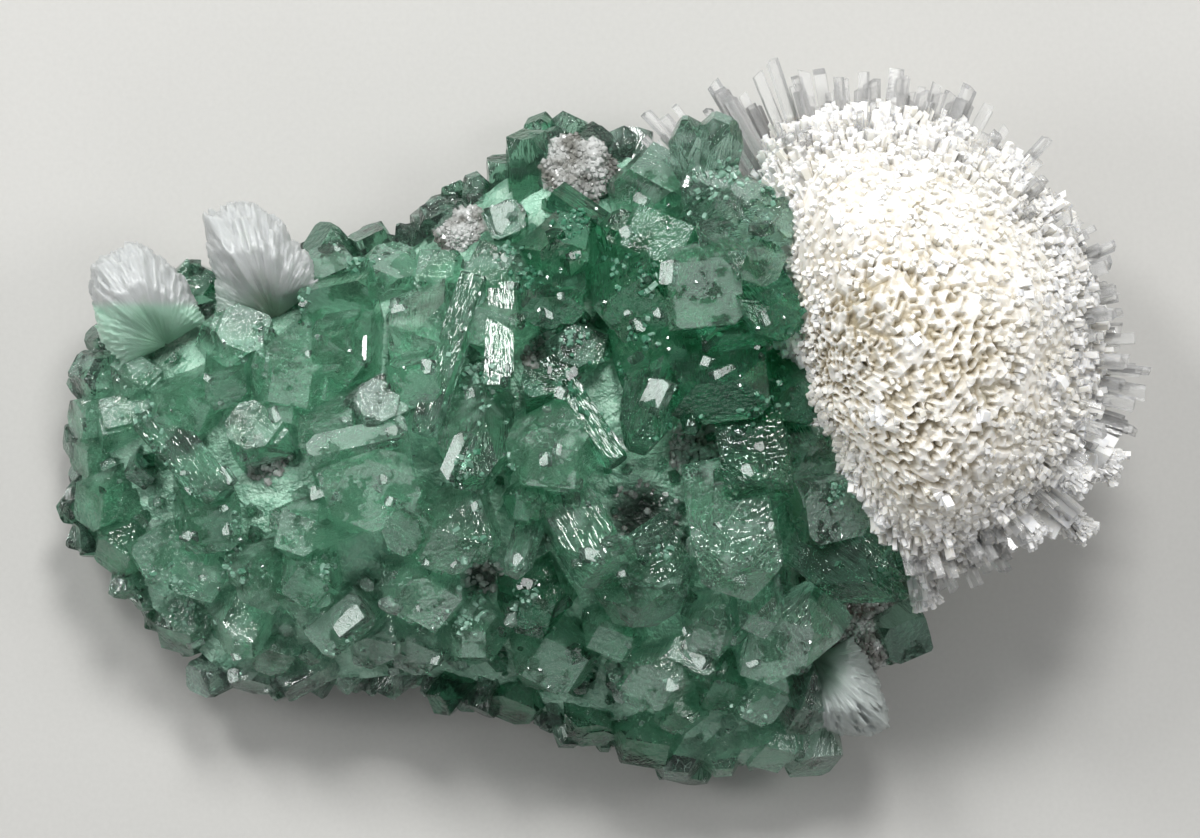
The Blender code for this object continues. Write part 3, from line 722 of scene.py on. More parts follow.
# %% The crystals' places
# x, y, height of the middle above the rock, half widths a and b, half length, lean of the long
# axis from upright, direction it leans to, direction of a, share of each corner that is cut
CRYSTALS = [
    # Left end
    (-70.5, 5.8, 4, 3.2, 3.2, 3.4, 45, 150, 20, 0.55),
    (-71.0, 0.3, 2, 3.0, 2.6, 3.2, 65, 190, 10, 0.30),
    (-70.4, -5.0, 2, 3.0, 3.0, 3.4, 60, 195, 35, 0.45),
    (-65.6, 0.5, 6, 4.2, 2.2, 2.4, 20, 80, 15, 0.10),
    (-64.3, 4.4, 5, 3.6, 3.2, 3.6, 35, 100, 5, 0.50),
    (-68.9, -11.2, 3, 3.8, 3.6, 4.0, 50, 200, 25, 0.40),
    (-65.9, -17.2, 3, 3.8, 3.4, 4.2, 55, 225, 15, 0.45),
    (-60.5, -18.3, 6, 3.8, 3.2, 3.0, 18, 225, 30, 0.15),
    (-56.4, -20.8, 6, 4.4, 3.8, 5.0, 48, 300, 20, 0.75),
    (-63.8, -24.1, 1, 1.8, 1.8, 2.4, 70, 215, 0, 0.30),
    (-58.2, -27.8, 2, 4.0, 3.6, 4.2, 55, 240, 40, 0.55),
    (-49.6, -28.2, 5, 4.6, 4.2, 5.4, 45, 270, 45, 0.80),
    (-49.1, -34.2, 0, 3.2, 3.0, 3.6, 70, 262, 10, 0.35),
    (-56.5, -6.8, 7, 2.4, 2.2, 6.0, 72, 310, 20, 0.45),
    (-54.5, -14.0, 7, 3.8, 3.4, 3.4, 28, 300, 0, 0.30),
    (-46.6, -22.6, 6, 4.2, 3.8, 4.2, 38, 280, 15, 0.60),
    # Lower left
    (-36.0, -28.0, 6, 4.6, 2.8, 2.8, 16, 240, 40, 0.12),
    (-31.4, -30.4, 4, 4.2, 2.4, 3.0, 45, 245, 35, 0.35),
    (-32.6, -8.9, 7, 6.2, 5.0, 5.0, 24, 300, 20, 0.35),
    (-33.7, -4.4, 9, 6.8, 1.9, 2.8, 41, 101, 13, 0.05),
    (-26.8, -14.2, 8, 3.2, 2.6, 3.6, 30, 240, 60, 0.30),
    (-21.6, -15.6, 7, 5.8, 4.0, 4.6, 35, 265, 20, 0.55),
    (-25.0, -23.5, 6, 5.4, 4.4, 4.6, 30, 270, 10, 0.50),
    (-18.0, -29.0, 6, 4.2, 4.0, 5.4, 20, 262, 45, 0.72),
    (-25.6, -30.6, 4, 3.6, 3.2, 3.8, 42, 250, 20, 0.40),
    (-41.0, -15.0, 6, 4.0, 3.6, 4.0, 25, 200, 30, 0.45),
    (-40.5, -21.5, 6, 3.4, 3.2, 3.6, 30, 250, 10, 0.50),
    (-45.5, -31.0, 3, 3.0, 2.8, 3.6, 50, 265, 20, 0.45),
    # Upper left
    (-37.5, -1.6, 7, 4.2, 2.8, 3.0, 30, 250, 15, 0.30),
    (-31.4, 1.2, 6, 3.4, 3.0, 3.6, 25, 60, 30, 0.40),
    (-57.1, 17.4, 3, 3.2, 3.2, 4.0, 30, 90, 15, 0.45),
    (-50.5, 10.6, 6, 4.0, 3.6, 4.0, 28, 60, 25, 0.45),
    (-52.0, 4.6, 6, 2.8, 2.2, 2.8, 30, 270, 10, 0.35),
    (-43.0, 5.6, 7, 5.4, 5.0, 4.8, 18, 240, 35, 0.65),
    (-47.5, -2.0, 5, 4.0, 3.4, 3.6, 20, 120, 10, 0.40),
    (-57.5, 1.5, 4, 4.2, 3.6, 3.8, 20, 250, 20, 0.45),
    (-35.6, 9.0, 7, 4.0, 3.8, 4.4, 25, 250, 10, 0.55),
    (-36.6, 15.4, 6, 4.8, 3.6, 4.0, 14, 250, 12, 0.08),
    (-38.6, 19.0, 3, 3.6, 3.2, 3.6, 48, 100, 30, 0.30),
    (-29.9, 19.0, 5, 3.4, 3.2, 4.2, 40, 75, 20, 0.35),
    (-23.0, 19.4, 6, 3.6, 3.2, 3.8, 30, 110, 40, 0.50),
    (-24.4, 10.6, 7, 4.2, 3.8, 4.4, 30, 270, 25, 0.50),
    (-25.7, 5.2, 7, 3.6, 3.0, 3.2, 25, 240, 15, 0.30),
    (-22.0, 6.5, 8, 1.7, 1.6, 9.5, 80, 252, 0, 0.35),
    # Top
    (-13.9, 26.0, 8, 2.5, 2.4, 3.6, 18, 100, 25, 0.08),
    (-10.9, 33.4, 6, 2.6, 2.3, 6.2, 68, 95, 10, 0.45),
    (7.3, 31.4, 9, 6.6, 4.8, 5.0, 38, 85, 10, 0.62),
    (11.4, 37.4, 20, 2.2, 2.2, 4.4, 50, 100, 40, 0.85),
    (15.0, 37.6, 22, 2.4, 2.3, 4.6, 45, 75, 20, 0.75),
    (13.6, 32.2, 15, 3.2, 3.0, 4.6, 25, 60, 15, 0.35),
    (6.4, 23.6, 9, 5.8, 4.6, 4.2, 25, 80, 20, 0.50),
    (-5.8, 22.6, 7, 5.0, 4.4, 4.6, 38, 60, 30, 0.60),
    (0.5, 25.2, 9, 1.6, 1.5, 5.6, 75, 325, 10, 0.40),
    (-14.8, 19.5, 6, 4.4, 3.8, 4.4, 30, 130, 20, 0.50),
    # Middle
    (13.5, 18.0, 12, 5.0, 4.6, 5.0, 16, 260, 5, 0.12),
    (4.1, 16.4, 10, 4.2, 4.0, 4.8, 28, 270, 35, 0.10),
    (-7.4, 16.2, 7, 4.2, 2.2, 3.6, 30, 270, 5, 0.35),
    (-14.7, 8.5, 9, 1.8, 1.6, 5.0, 70, 268, 0, 0.25),
    (-14.5, 12.5, 6, 4.0, 3.6, 4.0, 20, 200, 30, 0.45),
    (-18.0, -3.6, 7, 3.9, 3.6, 6.6, 52, 268, 30, 0.60),
    (-6.9, -4.6, 7, 5.8, 5.4, 5.4, 20, 275, 40, 0.62),
    (-8.8, 3.6, 8, 2.6, 2.0, 3.2, 22, 90, 10, 0.12),
    (-2.2, -0.8, 8, 1.5, 1.4, 6.8, 72, 304, 20, 0.35),
    (5.5, 1.0, 8, 2.6, 2.4, 6.4, 62, 258, 25, 0.60),
    (5.9, 9.2, 6, 4.8, 3.6, 3.8, 30, 280, 20, 0.45),
    (-4.0, 9.0, 4, 3.8, 3.2, 3.6, 20, 40, 30, 0.45),
    (-11.4, -17.6, 9, 1.6, 1.3, 4.6, 55, 255, 10, 0.45),
    (-10.9, -11.8, 8, 2.7, 2.5, 3.0, 20, 240, 35, 0.65),
    (-4.0, -15.2, 7, 3.6, 3.4, 8.0, 62, 302, 20, 0.45),
    (-9.5, -24.4, 6, 4.2, 3.8, 4.4, 30, 270, 30, 0.55),
    # Beside the ball
    (15.8, 4.8, 11, 6.2, 3.4, 4.4, 38, 268, 8, 0.30),
    (17.5, 11.3, 9, 4.8, 2.6, 3.8, 35, 275, 5, 0.40),
    (21.7, 15.1, 16, 3.6, 3.0, 5.0, 35, 305, 20, 0.45),
    (17.4, 28.0, 17, 3.4, 3.2, 6.0, 25, 30, 35, 0.40),
    (21.2, 26.4, 21, 3.2, 2.8, 4.6, 40, 10, 10, 0.55),
    (19.2, 22.0, 17, 3.4, 3.0, 4.8, 30, 320, 25, 0.45),
    (20.0, -5.5, 11, 4.6, 3.8, 6.4, 55, 278, 10, 0.40),
    (25.0, 4.0, 8, 3.6, 3.2, 5.4, 30, 300, 30, 0.35),
    (17.6, -16.9, 12, 5.6, 4.4, 7.6, 50, 278, 15, 0.55),
    (31.6, -11.6, 11, 6.2, 4.2, 4.2, 22, 330, 10, 0.15),
    (32.6, -18.6, 12, 3.4, 5.6, 10.6, 72, 321, 321, 0.90),
    (40.6, -29.6, 0, 3.2, 3.0, 3.8, 30, 310, 20, 0.15),
    (27.6, -4.6, 8, 4.0, 3.6, 4.4, 35, 300, 20, 0.40),
    # Lower right
    (6.0, -23.8, 8, 6.6, 2.6, 3.4, 50, 300, 35, 0.55),
    (24.0, -30.5, 9, 6.8, 3.8, 4.0, 30, 235, 30, 0.35),
    (20.8, -26.6, 11, 2.6, 2.2, 3.2, 35, 270, 15, 0.50),
    (14.4, -28.2, 8, 3.4, 3.2, 4.0, 35, 250, 30, 0.50),
    (6.8, -35.2, 6, 5.0, 3.6, 4.0, 32, 240, 15, 0.55),
    (11.8, -33.2, 8, 3.2, 2.0, 2.6, 20, 90, 335, 0.10),
    (15.2, -36.4, 6, 3.4, 3.0, 4.0, 32, 300, 20, 0.50),
    (1.0, -29.0, 5, 3.6, 3.2, 3.8, 30, 260, 20, 0.50),
    (-7.2, -32.2, 6, 5.6, 4.4, 4.6, 22, 270, 15, 0.55),
    (-12.2, -37.4, 1, 4.0, 3.4, 4.2, 58, 250, 20, 0.45),
    (-2.4, -40.4, 1, 3.2, 3.0, 4.4, 60, 272, 10, 0.35),
    (5.6, -42.6, 2, 4.6, 4.0, 5.0, 50, 262, 35, 0.55),
    (10.4, -45.2, 1, 4.2, 3.6, 5.4, 60, 265, 40, 0.70),
    (15.6, -45.0, 1, 3.6, 3.2, 5.2, 60, 277, 45, 0.70),
    (22.6, -43.8, 2, 4.2, 3.6, 4.6, 55, 270, 20, 0.50),
    (28.0, -45.4, 0, 4.0, 3.4, 3.8, 62, 290, 30, 0.40),
    (20.4, -37.6, 5, 3.6, 3.2, 4.2, 35, 300, 15, 0.45),
    (26.6, -39.0, 3, 3.4, 3.0, 4.2, 48, 290, 30, 0.40),
    (10.2, -39.4, 5, 3.2, 3.0, 4.2, 40, 255, 10, 0.60),
]


def crystal_stance(row):
    """The crystal's own axes and middle as one matrix, in millimetres."""
    x, y, rise, _, _, _, lean, toward, spin, _ = row
    turn = Matrix.Rotation(math.radians(toward), 4, "Z")
    tip_over = Matrix.Rotation(math.radians(lean), 4, "Y")
    about_axis = Matrix.Rotation(math.radians(spin - toward), 4, "Z")
    middle = Matrix.Translation((x, y, rock_height(x, y) + rise))
    return middle @ turn @ tip_over @ about_axis


print("large crystals:", len(CRYSTALS))

# %% [markdown]
# The green is not the same everywhere. Towards the ball the crystals are a deep emerald, at the
# left end and the lower edge they are greyer and paler, and a few are nearly colourless mint. The
# tone of a crystal is chosen by where it stands, and each face keeps it for the material to read.

# %% Which tone a crystal has
DEEP, MIDDLE, PALE = 1.0, 0.5, 0.0
# Middles of areas and the tone there: x, y, radius, tone
TONE_AREAS = [
    (20.0, -18.0, 6.5, PALE), (10.0, 33.0, 9.0, PALE), (-43.0, 5.0, 5.5, PALE),
    (31.0, -20.0, 9.0, MIDDLE), (14.0, 18.0, 9.0, MIDDLE), (-2.0, 23.0, 9.0, DEEP),
    (20.0, 8.0, 11.0, DEEP), (12.0, 37.0, 4.0, PALE), (-33.0, -5.0, 7.0, PALE),
    (8.0, -42.0, 9.0, MIDDLE), (24.0, -40.0, 9.0, PALE), (-20.0, -16.0, 7.0, MIDDLE),
    (2.0, 0.0, 9.0, DEEP), (-18.0, -2.0, 6.0, MIDDLE), (-52.0, 12.0, 5.0, PALE),
    (20.0, -31.0, 7.0, PALE), (-8.0, -32.0, 6.0, DEEP), (-60.0, -20.0, 8.0, MIDDLE),
    (-47.0, -33.0, 8.0, PALE), (-30.0, -30.0, 7.0, PALE), (-7.0, -3.5, 5.0, PALE),
    (-18.0, -28.0, 5.0, PALE),
]
# Beyond this many radii the tone is the middle one, and it varies by this much
TONE_REACH = 1.3
TONE_SPREAD = 0.22


def tone_at(x, y, draw):
    """The tone of the nearest area, a little different for each crystal."""
    best = min(TONE_AREAS, key=lambda area: math.hypot(x - area[0], y - area[1]) / area[2])
    far = math.hypot(x - best[0], y - best[1]) / best[2]
    tone = MIDDLE if far > TONE_REACH else best[3]
    return min(max(tone + draw.gauss(0, TONE_SPREAD), 0), 1)


print("areas of tone:", len(TONE_AREAS))


# %% [markdown]
# A real crystal is rarely one clean block. Smaller ones grow parallel to it and stand out of its
# sides as steps. So each large crystal gets a few parallel blocks, set into its edges, and its
# pyramid faces are cut unequally.
#
# Crystals that only overlap would look wrong, because light would bend again at every hidden
# face inside. So all of them are joined in one body with a Boolean. Each face remembers which
# crystal it came from, and from that crystal's axes its grain is worked out afterwards.

# %% One body, and all that grow together
# How far a step stands out, in mm, and by how many degrees it may be turned
STEP_HEIGHT = (0.15, 0.6)
TURN_OF_STEPS = 2.5
# The sides and the corners that a step can sit on
STEP_WAYS = [(1, 0), (-1, 0), (0, 1), (0, -1), (1, 1), (-1, 1), (1, -1), (-1, -1)]


def crystal_body(corners, faces, kinds, number):
    """One closed crystal whose faces carry its number and what they are."""
    used = [(face, kind) for face, kind in zip(faces, kinds) if len(face) > 2]
    mesh = bpy.data.meshes.new("crystal")
    mesh.from_pydata([tuple(corner) for corner in corners], [], [face for face, kind in used])
    mesh.attributes.new("number", "INT", "FACE").data.foreach_set("value", [number] * len(used))
    pearl = [float(kind == BASE) for face, kind in used]
    mesh.attributes.new("pearl", "FLOAT", "FACE").data.foreach_set("value", pearl)
    return bpy.data.objects.new("crystal", mesh)


bodies = []
axes = []
tones = []


def grow(planes, kinds, stance, tone):
    """Adds one crystal to those that are grown together."""
    corners, faces = solid_of(planes)
    placed = [stance @ Vector(corner) for corner in corners]
    bodies.append(crystal_body(placed, faces, kinds, len(bodies)))
    axes.append(stance)
    tones.append(tone)


# %% Large crystals with their growth steps
draw = random.Random(5)
# Row, place and planes of each crystal, to ask later whether a point is inside it
forms = []
for row in CRYSTALS:
    half_a, half_b, top, cut = row[3], row[4], row[5], row[9]
    stance = crystal_stance(row)
    tone = tone_at(row[0], row[1], draw)
    grow(*crystal_planes(half_a, half_b, top, cut, draw=draw, uneven=0.12), stance, tone)
    forms.append((row, stance, crystal_planes(half_a, half_b, top, cut)[0]))
    size = (half_a * half_b * top) ** (1 / 3)
    for step in range(1 if size < 3 else draw.choice([1, 2, 3])):
        shrink = draw.uniform(0.4, 0.84)
        a, b = half_a * shrink, half_b * shrink * draw.uniform(0.8, 1.25)
        length = top * draw.uniform(0.6, 0.95)
        proud = draw.uniform(*STEP_HEIGHT)
        way = draw.choice(STEP_WAYS)
        along_a = way[0] * (half_a - a + proud) if way[0] else draw.uniform(-0.5, 0.5) * half_a
        along_b = way[1] * (half_b - b + proud) if way[1] else draw.uniform(-0.5, 0.5) * half_b
        up = top - length + draw.uniform(-0.35, 0.06) * top
        if way[0] and way[1]:
            up -= 0.45 * cut * top
        tilt = Matrix.Rotation(math.radians(draw.uniform(-1, 1) * TURN_OF_STEPS), 4, "X")
        tilt = tilt @ Matrix.Rotation(math.radians(draw.uniform(-1, 1) * TURN_OF_STEPS), 4, "Y")
        cut_of_step = min(max(cut + draw.uniform(-0.15, 0.25), 0.03), 0.9)
        step_planes, kinds = crystal_planes(a, b, length, cut_of_step, draw=draw, uneven=0.1)
        grow(step_planes, kinds, stance @ Matrix.Translation((along_a, along_b, up)) @ tilt, tone)
print("crystals and steps:", len(bodies))


# %% Join them in one body
# No corner is lower than this, in mm: nothing may reach through the floor
LOWEST_CORNER = 1.0
# The share of bodies whose faces are crowds of small pyramids
CROWDED_SHARE = 0.13


def joined(bodies):
    """The union of all the bodies as one mesh."""
    first = bodies[0]
    bpy.context.scene.collection.objects.link(first)
    others = bpy.data.collections.new("others")
    for body in bodies[1:]:
        others.objects.link(body)
    union = first.modifiers.new("union", "BOOLEAN")
    union.operation = "UNION"
    union.operand_type = "COLLECTION"
    union.collection = others
    union.solver = "EXACT"
    graph = bpy.context.evaluated_depsgraph_get()
    mesh = bpy.data.meshes.new_from_object(first.evaluated_get(graph))
    for body in bodies:
        bpy.data.objects.remove(body)
    bpy.data.collections.remove(others)
    # Takes out faces that the union left with no area
    mesh.validate()
    return mesh


def face_values(mesh, name, kind):
    """The values of one kind that the mesh keeps for its faces."""
    values = np.zeros(len(mesh.polygons), kind)
    mesh.attributes[name].data.foreach_get("value", values)
    return values


union = joined(bodies)
numbers = face_values(union, "number", np.int32)
crystal_points = [Vector((*vert.co.xy, max(vert.co.z, LOWEST_CORNER))) for vert in union.vertices]
crystal_faces = [tuple(face.vertices) for face in union.polygons]
crystals = add_piece(
    "apophyllite_crystals", crystal_points, crystal_faces, "apophyllite_crust",
)
inverses = [stance.inverted() for stance in axes]
grain = []
for face, number in zip(crystal_faces, numbers):
    for i in face:
        grain.append(inverses[number] @ crystal_points[i] + grain_offset(number))
store(crystals, "grain", "CORNER", grain)
store(crystals, "pearl", "FACE", face_values(union, "pearl", np.float32))
store(crystals, "tone", "FACE", [tones[number] for number in numbers])
draw = random.Random(31)
crowded = [float(draw.random() < CROWDED_SHARE) for body in axes]
store(crystals, "rough", "FACE", [crowded[number] for number in numbers])


# %% [markdown]
# ## The small crystals
#
# Hundreds of crystals of one to five millimetres fill the room between the large ones. Smaller
# ones sit on the faces of the large ones, singly and in groups of frosted grains. They are
# scattered by throwing darts: a dart from above, or from the side at the rim, sticks where it
# first hits, and a small crystal grows there about the surface's normal.

# %% Surfaces for the darts
# Darts start from these heights, in mm, which are above all that they can hit
ABOVE_BED = 60.0
ABOVE_CRYSTALS = 70.0
DOWN = Vector((0, 0, -1))


def tree_of(points, faces):
    """The surface of a piece in a form that can be hit by darts."""
    return BVHTree.FromPolygons([tuple(p) for p in points], faces)


def spot_in(area, draw):
    """A random x and y in this area, given as x from and to, y from and to."""
    return draw.uniform(*area[:2]), draw.uniform(*area[2:])


def hit_below(surface, x, y, height):
    """Where a dart from this height first hits the surface, if it does, and the normal there."""
    spot, normal, _, _ = surface.ray_cast(Vector((x, y, height)), DOWN)
    return spot, normal


def inside_form(form, point, margin):
    """True where the point is in this large crystal, or nearer to it than the margin."""
    row, stance, planes = form
    if (point - stance.translation).length > 2.2 * (row[3] + row[4] + row[5]):
        return False
    local = stance.inverted() @ point
    return all(Vector(normal).normalized().dot(local) <= reach + margin for normal, reach in planes)


bed_tree = tree_of(bed_points, bed_faces)
crystal_tree = tree_of(crystal_points, crystal_faces)
print("surfaces of", len(bed_faces), "and", len(crystal_faces), "faces")

# %% One small crystal
small = Pile()


def small_crystal(spot, normal, size, draw, sink=0.35, lean=38, frost=0.0):
    """A small crystal rooted at this spot, its axis within lean degrees of the normal."""
    a = size * draw.uniform(0.8, 1.2)
    b = a * draw.uniform(0.7, 1.1)
    top = size * draw.uniform(0.8, 1.7)
    cut = draw.choice([0.15, 0.35, 0.5, 0.65, 0.85])
    planes, kinds = crystal_planes(a, b, top, cut, root=0.6 * size, draw=draw, uneven=0.1)
    aim = Vector(normal).to_track_quat("Z", "Y").to_matrix().to_4x4()
    spin = Matrix.Rotation(draw.uniform(0, 2 * math.pi), 4, "Z")
    tip = Matrix.Rotation(math.radians(draw.uniform(0, lean)), 4, "Y")
    turn = Matrix.Rotation(draw.uniform(0, 2 * math.pi), 4, "Z")
    stance = Matrix.Translation(spot) @ aim @ spin @ tip @ turn
    stance = stance @ Matrix.Translation((0, 0, top * (1 - 2 * sink)))
    tone = tone_at(spot.x, spot.y, draw)
    # The pattern's offset also picks the crystals whose faces are crowded with small pyramids
    seed = draw.random() * 90
    small.add(planes, kinds, stance, seed, tone=tone, frost=frost, rough=float(seed < 16))


# %% On the bed and round the rim
BED_DARTS = 650
BED_AREA = (-71, BED_RIGHT_EDGE, -46, 37)
SIDE_DARTS = 360
# Darts at the rim fly level, at these heights, from this far outside
SIDE_HEIGHTS = (5.2, 12)
FAR_OUT = 110
BALL_CENTRE = Vector((35.5, 9.9, 22.8))
BALL_RADIUS = 32.0
# The ball covers the bed this near to its middle, measured at the height of the bed there
COVERED = 13.0
COVERED_HEIGHT = 26.0
# In a hollow this share of the darts doesn't count, so that it stays open
HOLLOW_MISSES = 0.75

draw = random.Random(17)
counts = {"bed": 0, "side": 0, "perched": 0, "clusters": 0, "windows": 0}
for dart in range(BED_DARTS):
    x, y = spot_in(BED_AREA, draw)
    if rock_share(x, y) > 0.99:
        continue
    if (Vector((x, y, COVERED_HEIGHT)) - BALL_CENTRE).length < COVERED:
        continue
    spot, normal = hit_below(bed_tree, x, y, ABOVE_BED)
    if spot is None or any(inside_form(form, spot, 0.0) for form in forms):
        continue
    share = hollow_share(x, y)
    if share > 0.15 and draw.random() < HOLLOW_MISSES:
        continue
    size = draw.uniform(0.4, 0.8) if share > 0 else 0.5 + 1.1 * draw.random() ** 2.5
    small_crystal(spot, normal.lerp(Vector((0, 0, 1)), 0.4), size, draw)
    counts["bed"] += 1
for dart in range(SIDE_DARTS):
    angle = draw.uniform(0, 2 * math.pi)
    out = Vector((math.cos(angle), math.sin(angle), 0))
    start = Vector((*ROCK_CENTRE, draw.uniform(*SIDE_HEIGHTS))) + out * FAR_OUT
    spot, normal, _, _ = bed_tree.ray_cast(start, -out)
    if spot is None or spot.x > BED_RIGHT_EDGE or any(inside_form(f, spot, 0.0) for f in forms):
        continue
    size = 0.9 + 1.6 * draw.random() ** 2
    if spot.z - size < CRUST_FOOT - 1:
        continue
    small_crystal(spot, out + Vector((0, 0, 0.35)), size, draw)
    counts["side"] += 1
print("small crystals on the bed and round the rim:", counts["bed"], counts["side"])

# %% On the large crystals, singly and in groups
PERCHED_DARTS = 110
PERCH_AREA = (-71, 36, -46, 38)
CLUSTERS = 60
CLUSTER_DARTS = 16
GROUP_AREA = (-68, 33, -42, 36)

for dart in range(PERCHED_DARTS):
    spot, normal = hit_below(crystal_tree, *spot_in(PERCH_AREA, draw), ABOVE_CRYSTALS)
    if spot is None or normal.z < 0.1:
        continue
    size = 0.3 + 0.8 * draw.random() ** 3
    small_crystal(spot, normal, size, draw, sink=0.42, lean=65)
    counts["perched"] += 1
for cluster in range(CLUSTERS):
    middle_x, middle_y = spot_in(GROUP_AREA, draw)
    spread = draw.uniform(0.8, 2.0)
    for dart in range(CLUSTER_DARTS):
        x, y = draw.gauss(middle_x, spread), draw.gauss(middle_y, spread)
        spot, normal = hit_below(crystal_tree, x, y, ABOVE_CRYSTALS)
        if spot is not None and normal.z > 0.1:
            small_crystal(spot, normal, draw.uniform(0.15, 0.36), draw, 0.4, 70, frost=0.8)
            counts["clusters"] += 1
print("perched and grouped crystals:", counts["perched"], counts["clusters"])

# %% [markdown]
# Here and there a flat face shines all over, because it happens to mirror a lamp. Chance alone
# rarely does that in a scene of this size. So thin crystals, flat on top, are set on the large
# ones and turned so that each mirrors one of the softboxes straight up. The largest stand where
# the real specimen shines, the rest are scattered.

# %% Where flat faces shine
SMALL_WINDOWS = 220
# x, y, half widths, direction of the first, the softbox that it mirrors
WINDOWS = [
    (6.4, 3.0, 2.4, 1.5, 62, "left"), (-14.0, 27.1, 1.9, 2.1, 15, "right"),
    (15.8, 5.9, 1.7, 0.8, 20, "right"), (-20.8, -5.3, 3.4, 0.9, 65, "left"),
    (2.0, -3.6, 1.3, 1.1, 40, "right"), (-61.6, -10.2, 1.4, 0.9, 10, "right"),
    (-39.0, -10.1, 1.5, 0.9, 15, "left"), (-35.6, -27.4, 2.4, 1.7, 35, "left"),
    (-34.2, -22.9, 0.8, 0.7, 50, "left"), (-2.1, -18.6, 1.5, 0.8, 165, "right"),
    (11.8, -32.4, 2.2, 1.2, 150, "left"), (15.8, -34.7, 1.5, 0.4, 62, "key"),
    (-33.0, 9.5, 2.0, 0.3, 88, "key"), (11.0, 32.2, 1.3, 0.4, 70, "key"),
    (8.1, 19.5, 1.7, 1.0, 85, "left"), (-29.0, -2.0, 1.0, 0.7, 20, "left"),
    (-8.0, 14.0, 0.9, 0.5, 100, "right"), (-52.0, -8.0, 1.3, 0.5, 130, "left"),
]
# Directions of the prism's four corners, of which two are broken off
WINDOW_CORNERS = [35, 145, 215, 325]


def mirror_normal(softbox):
    """The way a face looks that mirrors this softbox straight up."""
    row = next(row for row in SOFTBOXES if row[0] == softbox)
    turned, raised = math.radians(row[1]), math.radians(row[2])
    flat = math.cos(raised)
    half_way = Vector((flat * math.cos(turned), flat * math.sin(turned), math.sin(raised) + 1))
    return half_way.normalized()


def window(spot, half_a, half_b, spin, softbox, draw):
    """A thin crystal, flat on top, sunk in whatever it hit."""
    depth = 0.7 * max(half_a, half_b)
    planes, kinds = crystal_planes(half_a, half_b, 0.3, 0.1, root=depth, draw=draw, uneven=0.1)
    for turn in draw.sample(WINDOW_CORNERS, 2):
        angle = math.radians(turn + draw.uniform(-20, 20))
        reach = draw.uniform(0.62, 0.85) * math.hypot(half_a, half_b)
        planes.append(((math.cos(angle), math.sin(angle), 0.1), reach))
        kinds.append(SIDE)
    lean = Vector((0, 0, 1)).rotation_difference(mirror_normal(softbox)).to_matrix().to_4x4()
    stance = Matrix.Translation(spot) @ lean @ Matrix.Rotation(math.radians(spin), 4, "Z")
    small.add(planes, kinds, stance, draw.random() * 90, tone=PALE, calm=1.0)


# %% Set the flat faces and gather all the small crystals
for x, y, half_a, half_b, spin, softbox in WINDOWS:
    spot, normal = hit_below(crystal_tree, x, y, ABOVE_CRYSTALS)
    if spot is None:
        spot, normal = hit_below(bed_tree, x, y, ABOVE_CRYSTALS)
    window(spot, half_a, half_b, spin, softbox, draw)
for dart in range(SMALL_WINDOWS):
    spot, normal = hit_below(crystal_tree, *spot_in(GROUP_AREA, draw), ABOVE_CRYSTALS)
    if spot is not None and normal.z > 0.3:
        softbox = draw.choice(["key", "top_left", "left", "right"])
        # The two bright softboxes give glints, the others pale faces
        size = draw.uniform(0.14, 0.32) if softbox in ("key", "top_left") else draw.uniform(0.4, 1.1)
        window(spot, size, size * draw.uniform(0.4, 0.9), draw.uniform(0, 180), softbox, draw)
        counts["windows"] += 1
print("small crystals:", counts)
small_crystals = add_piece(
    "apophyllite_small_crystals", small.points, small.faces, "apophyllite_crust",
)
store(small_crystals, "grain", "POINT", small.grain)
for name, values in small.values.items():
    store(small_crystals, name, "FACE", values)

# %% [markdown]
# ## Apophyllite
#
# Apophyllite is a clear silicate with the lustre of glass, IOR 1.535. Traces of vanadium make it
# green, and the deeper the light goes, the greener it comes back: that is absorption in the
# volume, with a slight tint of the surface. Few crystals are quite clean. Cloudy patches and
# healed cracks scatter the light, so parts of them look like mint milk. The sides have fine lines
# along the axis, the base is pearly, because the mineral splits in sheets parallel to it.

# %% Clear green crystal
apophyllite, tree, shader = new_material("apophyllite_clear_green")
grain = add_node(tree, "Attribute", attribute_name="grain").outputs["Vector"]
pearl = add_node(tree, "Attribute", attribute_name="pearl").outputs["Fac"]
tone = add_node(tree, "Attribute", attribute_name="tone").outputs["Fac"]
# One pattern of about 5 mm gives both the clouds and, near its middle value, healed cracks
clouds = add_node(tree, "TexNoise", {
    "Vector": grain, "Scale": 1 / 5.0, "Detail": 3.0, "Roughness": 0.65,
})
cloudy = add_node(tree, "MapRange", {
    "Value": clouds.outputs[0], "From Min": 0.52, "From Max": 0.80, "To Max": 0.6,
})
crack = add_node(tree, "Math", {0: clouds.outputs[0], 1: 0.46, 2: 0.004}, operation="COMPARE")
crack_share = add_node(tree, "Math", {0: crack.outputs[0], 1: 0.5}, operation="MULTIPLY")
milky = add_node(tree, "Math", {0: cloudy.outputs[0], 1: crack_share.outputs[0]}, operation="MAXIMUM")
# Deep green crystals are the cleaner ones
clean = add_node(tree, "MapRange", {"Value": tone, "To Min": 1.1, "To Max": 0.4})
veil = add_node(tree, "Math", {0: milky.outputs[0], 1: clean.outputs[0]}, operation="MULTIPLY")
# The pearly base has patches of sheets that have come loose
loose = add_node(tree, "MapRange", {
    "Value": clouds.outputs[0], "From Min": 0.44, "From Max": 0.5, "To Max": 0.3,
})
pearly = add_node(tree, "Math", {0: pearl, 1: loose.outputs[0]}, operation="MULTIPLY")
inner = add_node(tree, "Math", {0: veil.outputs[0], 1: pearly.outputs[0]}, operation="MAXIMUM")
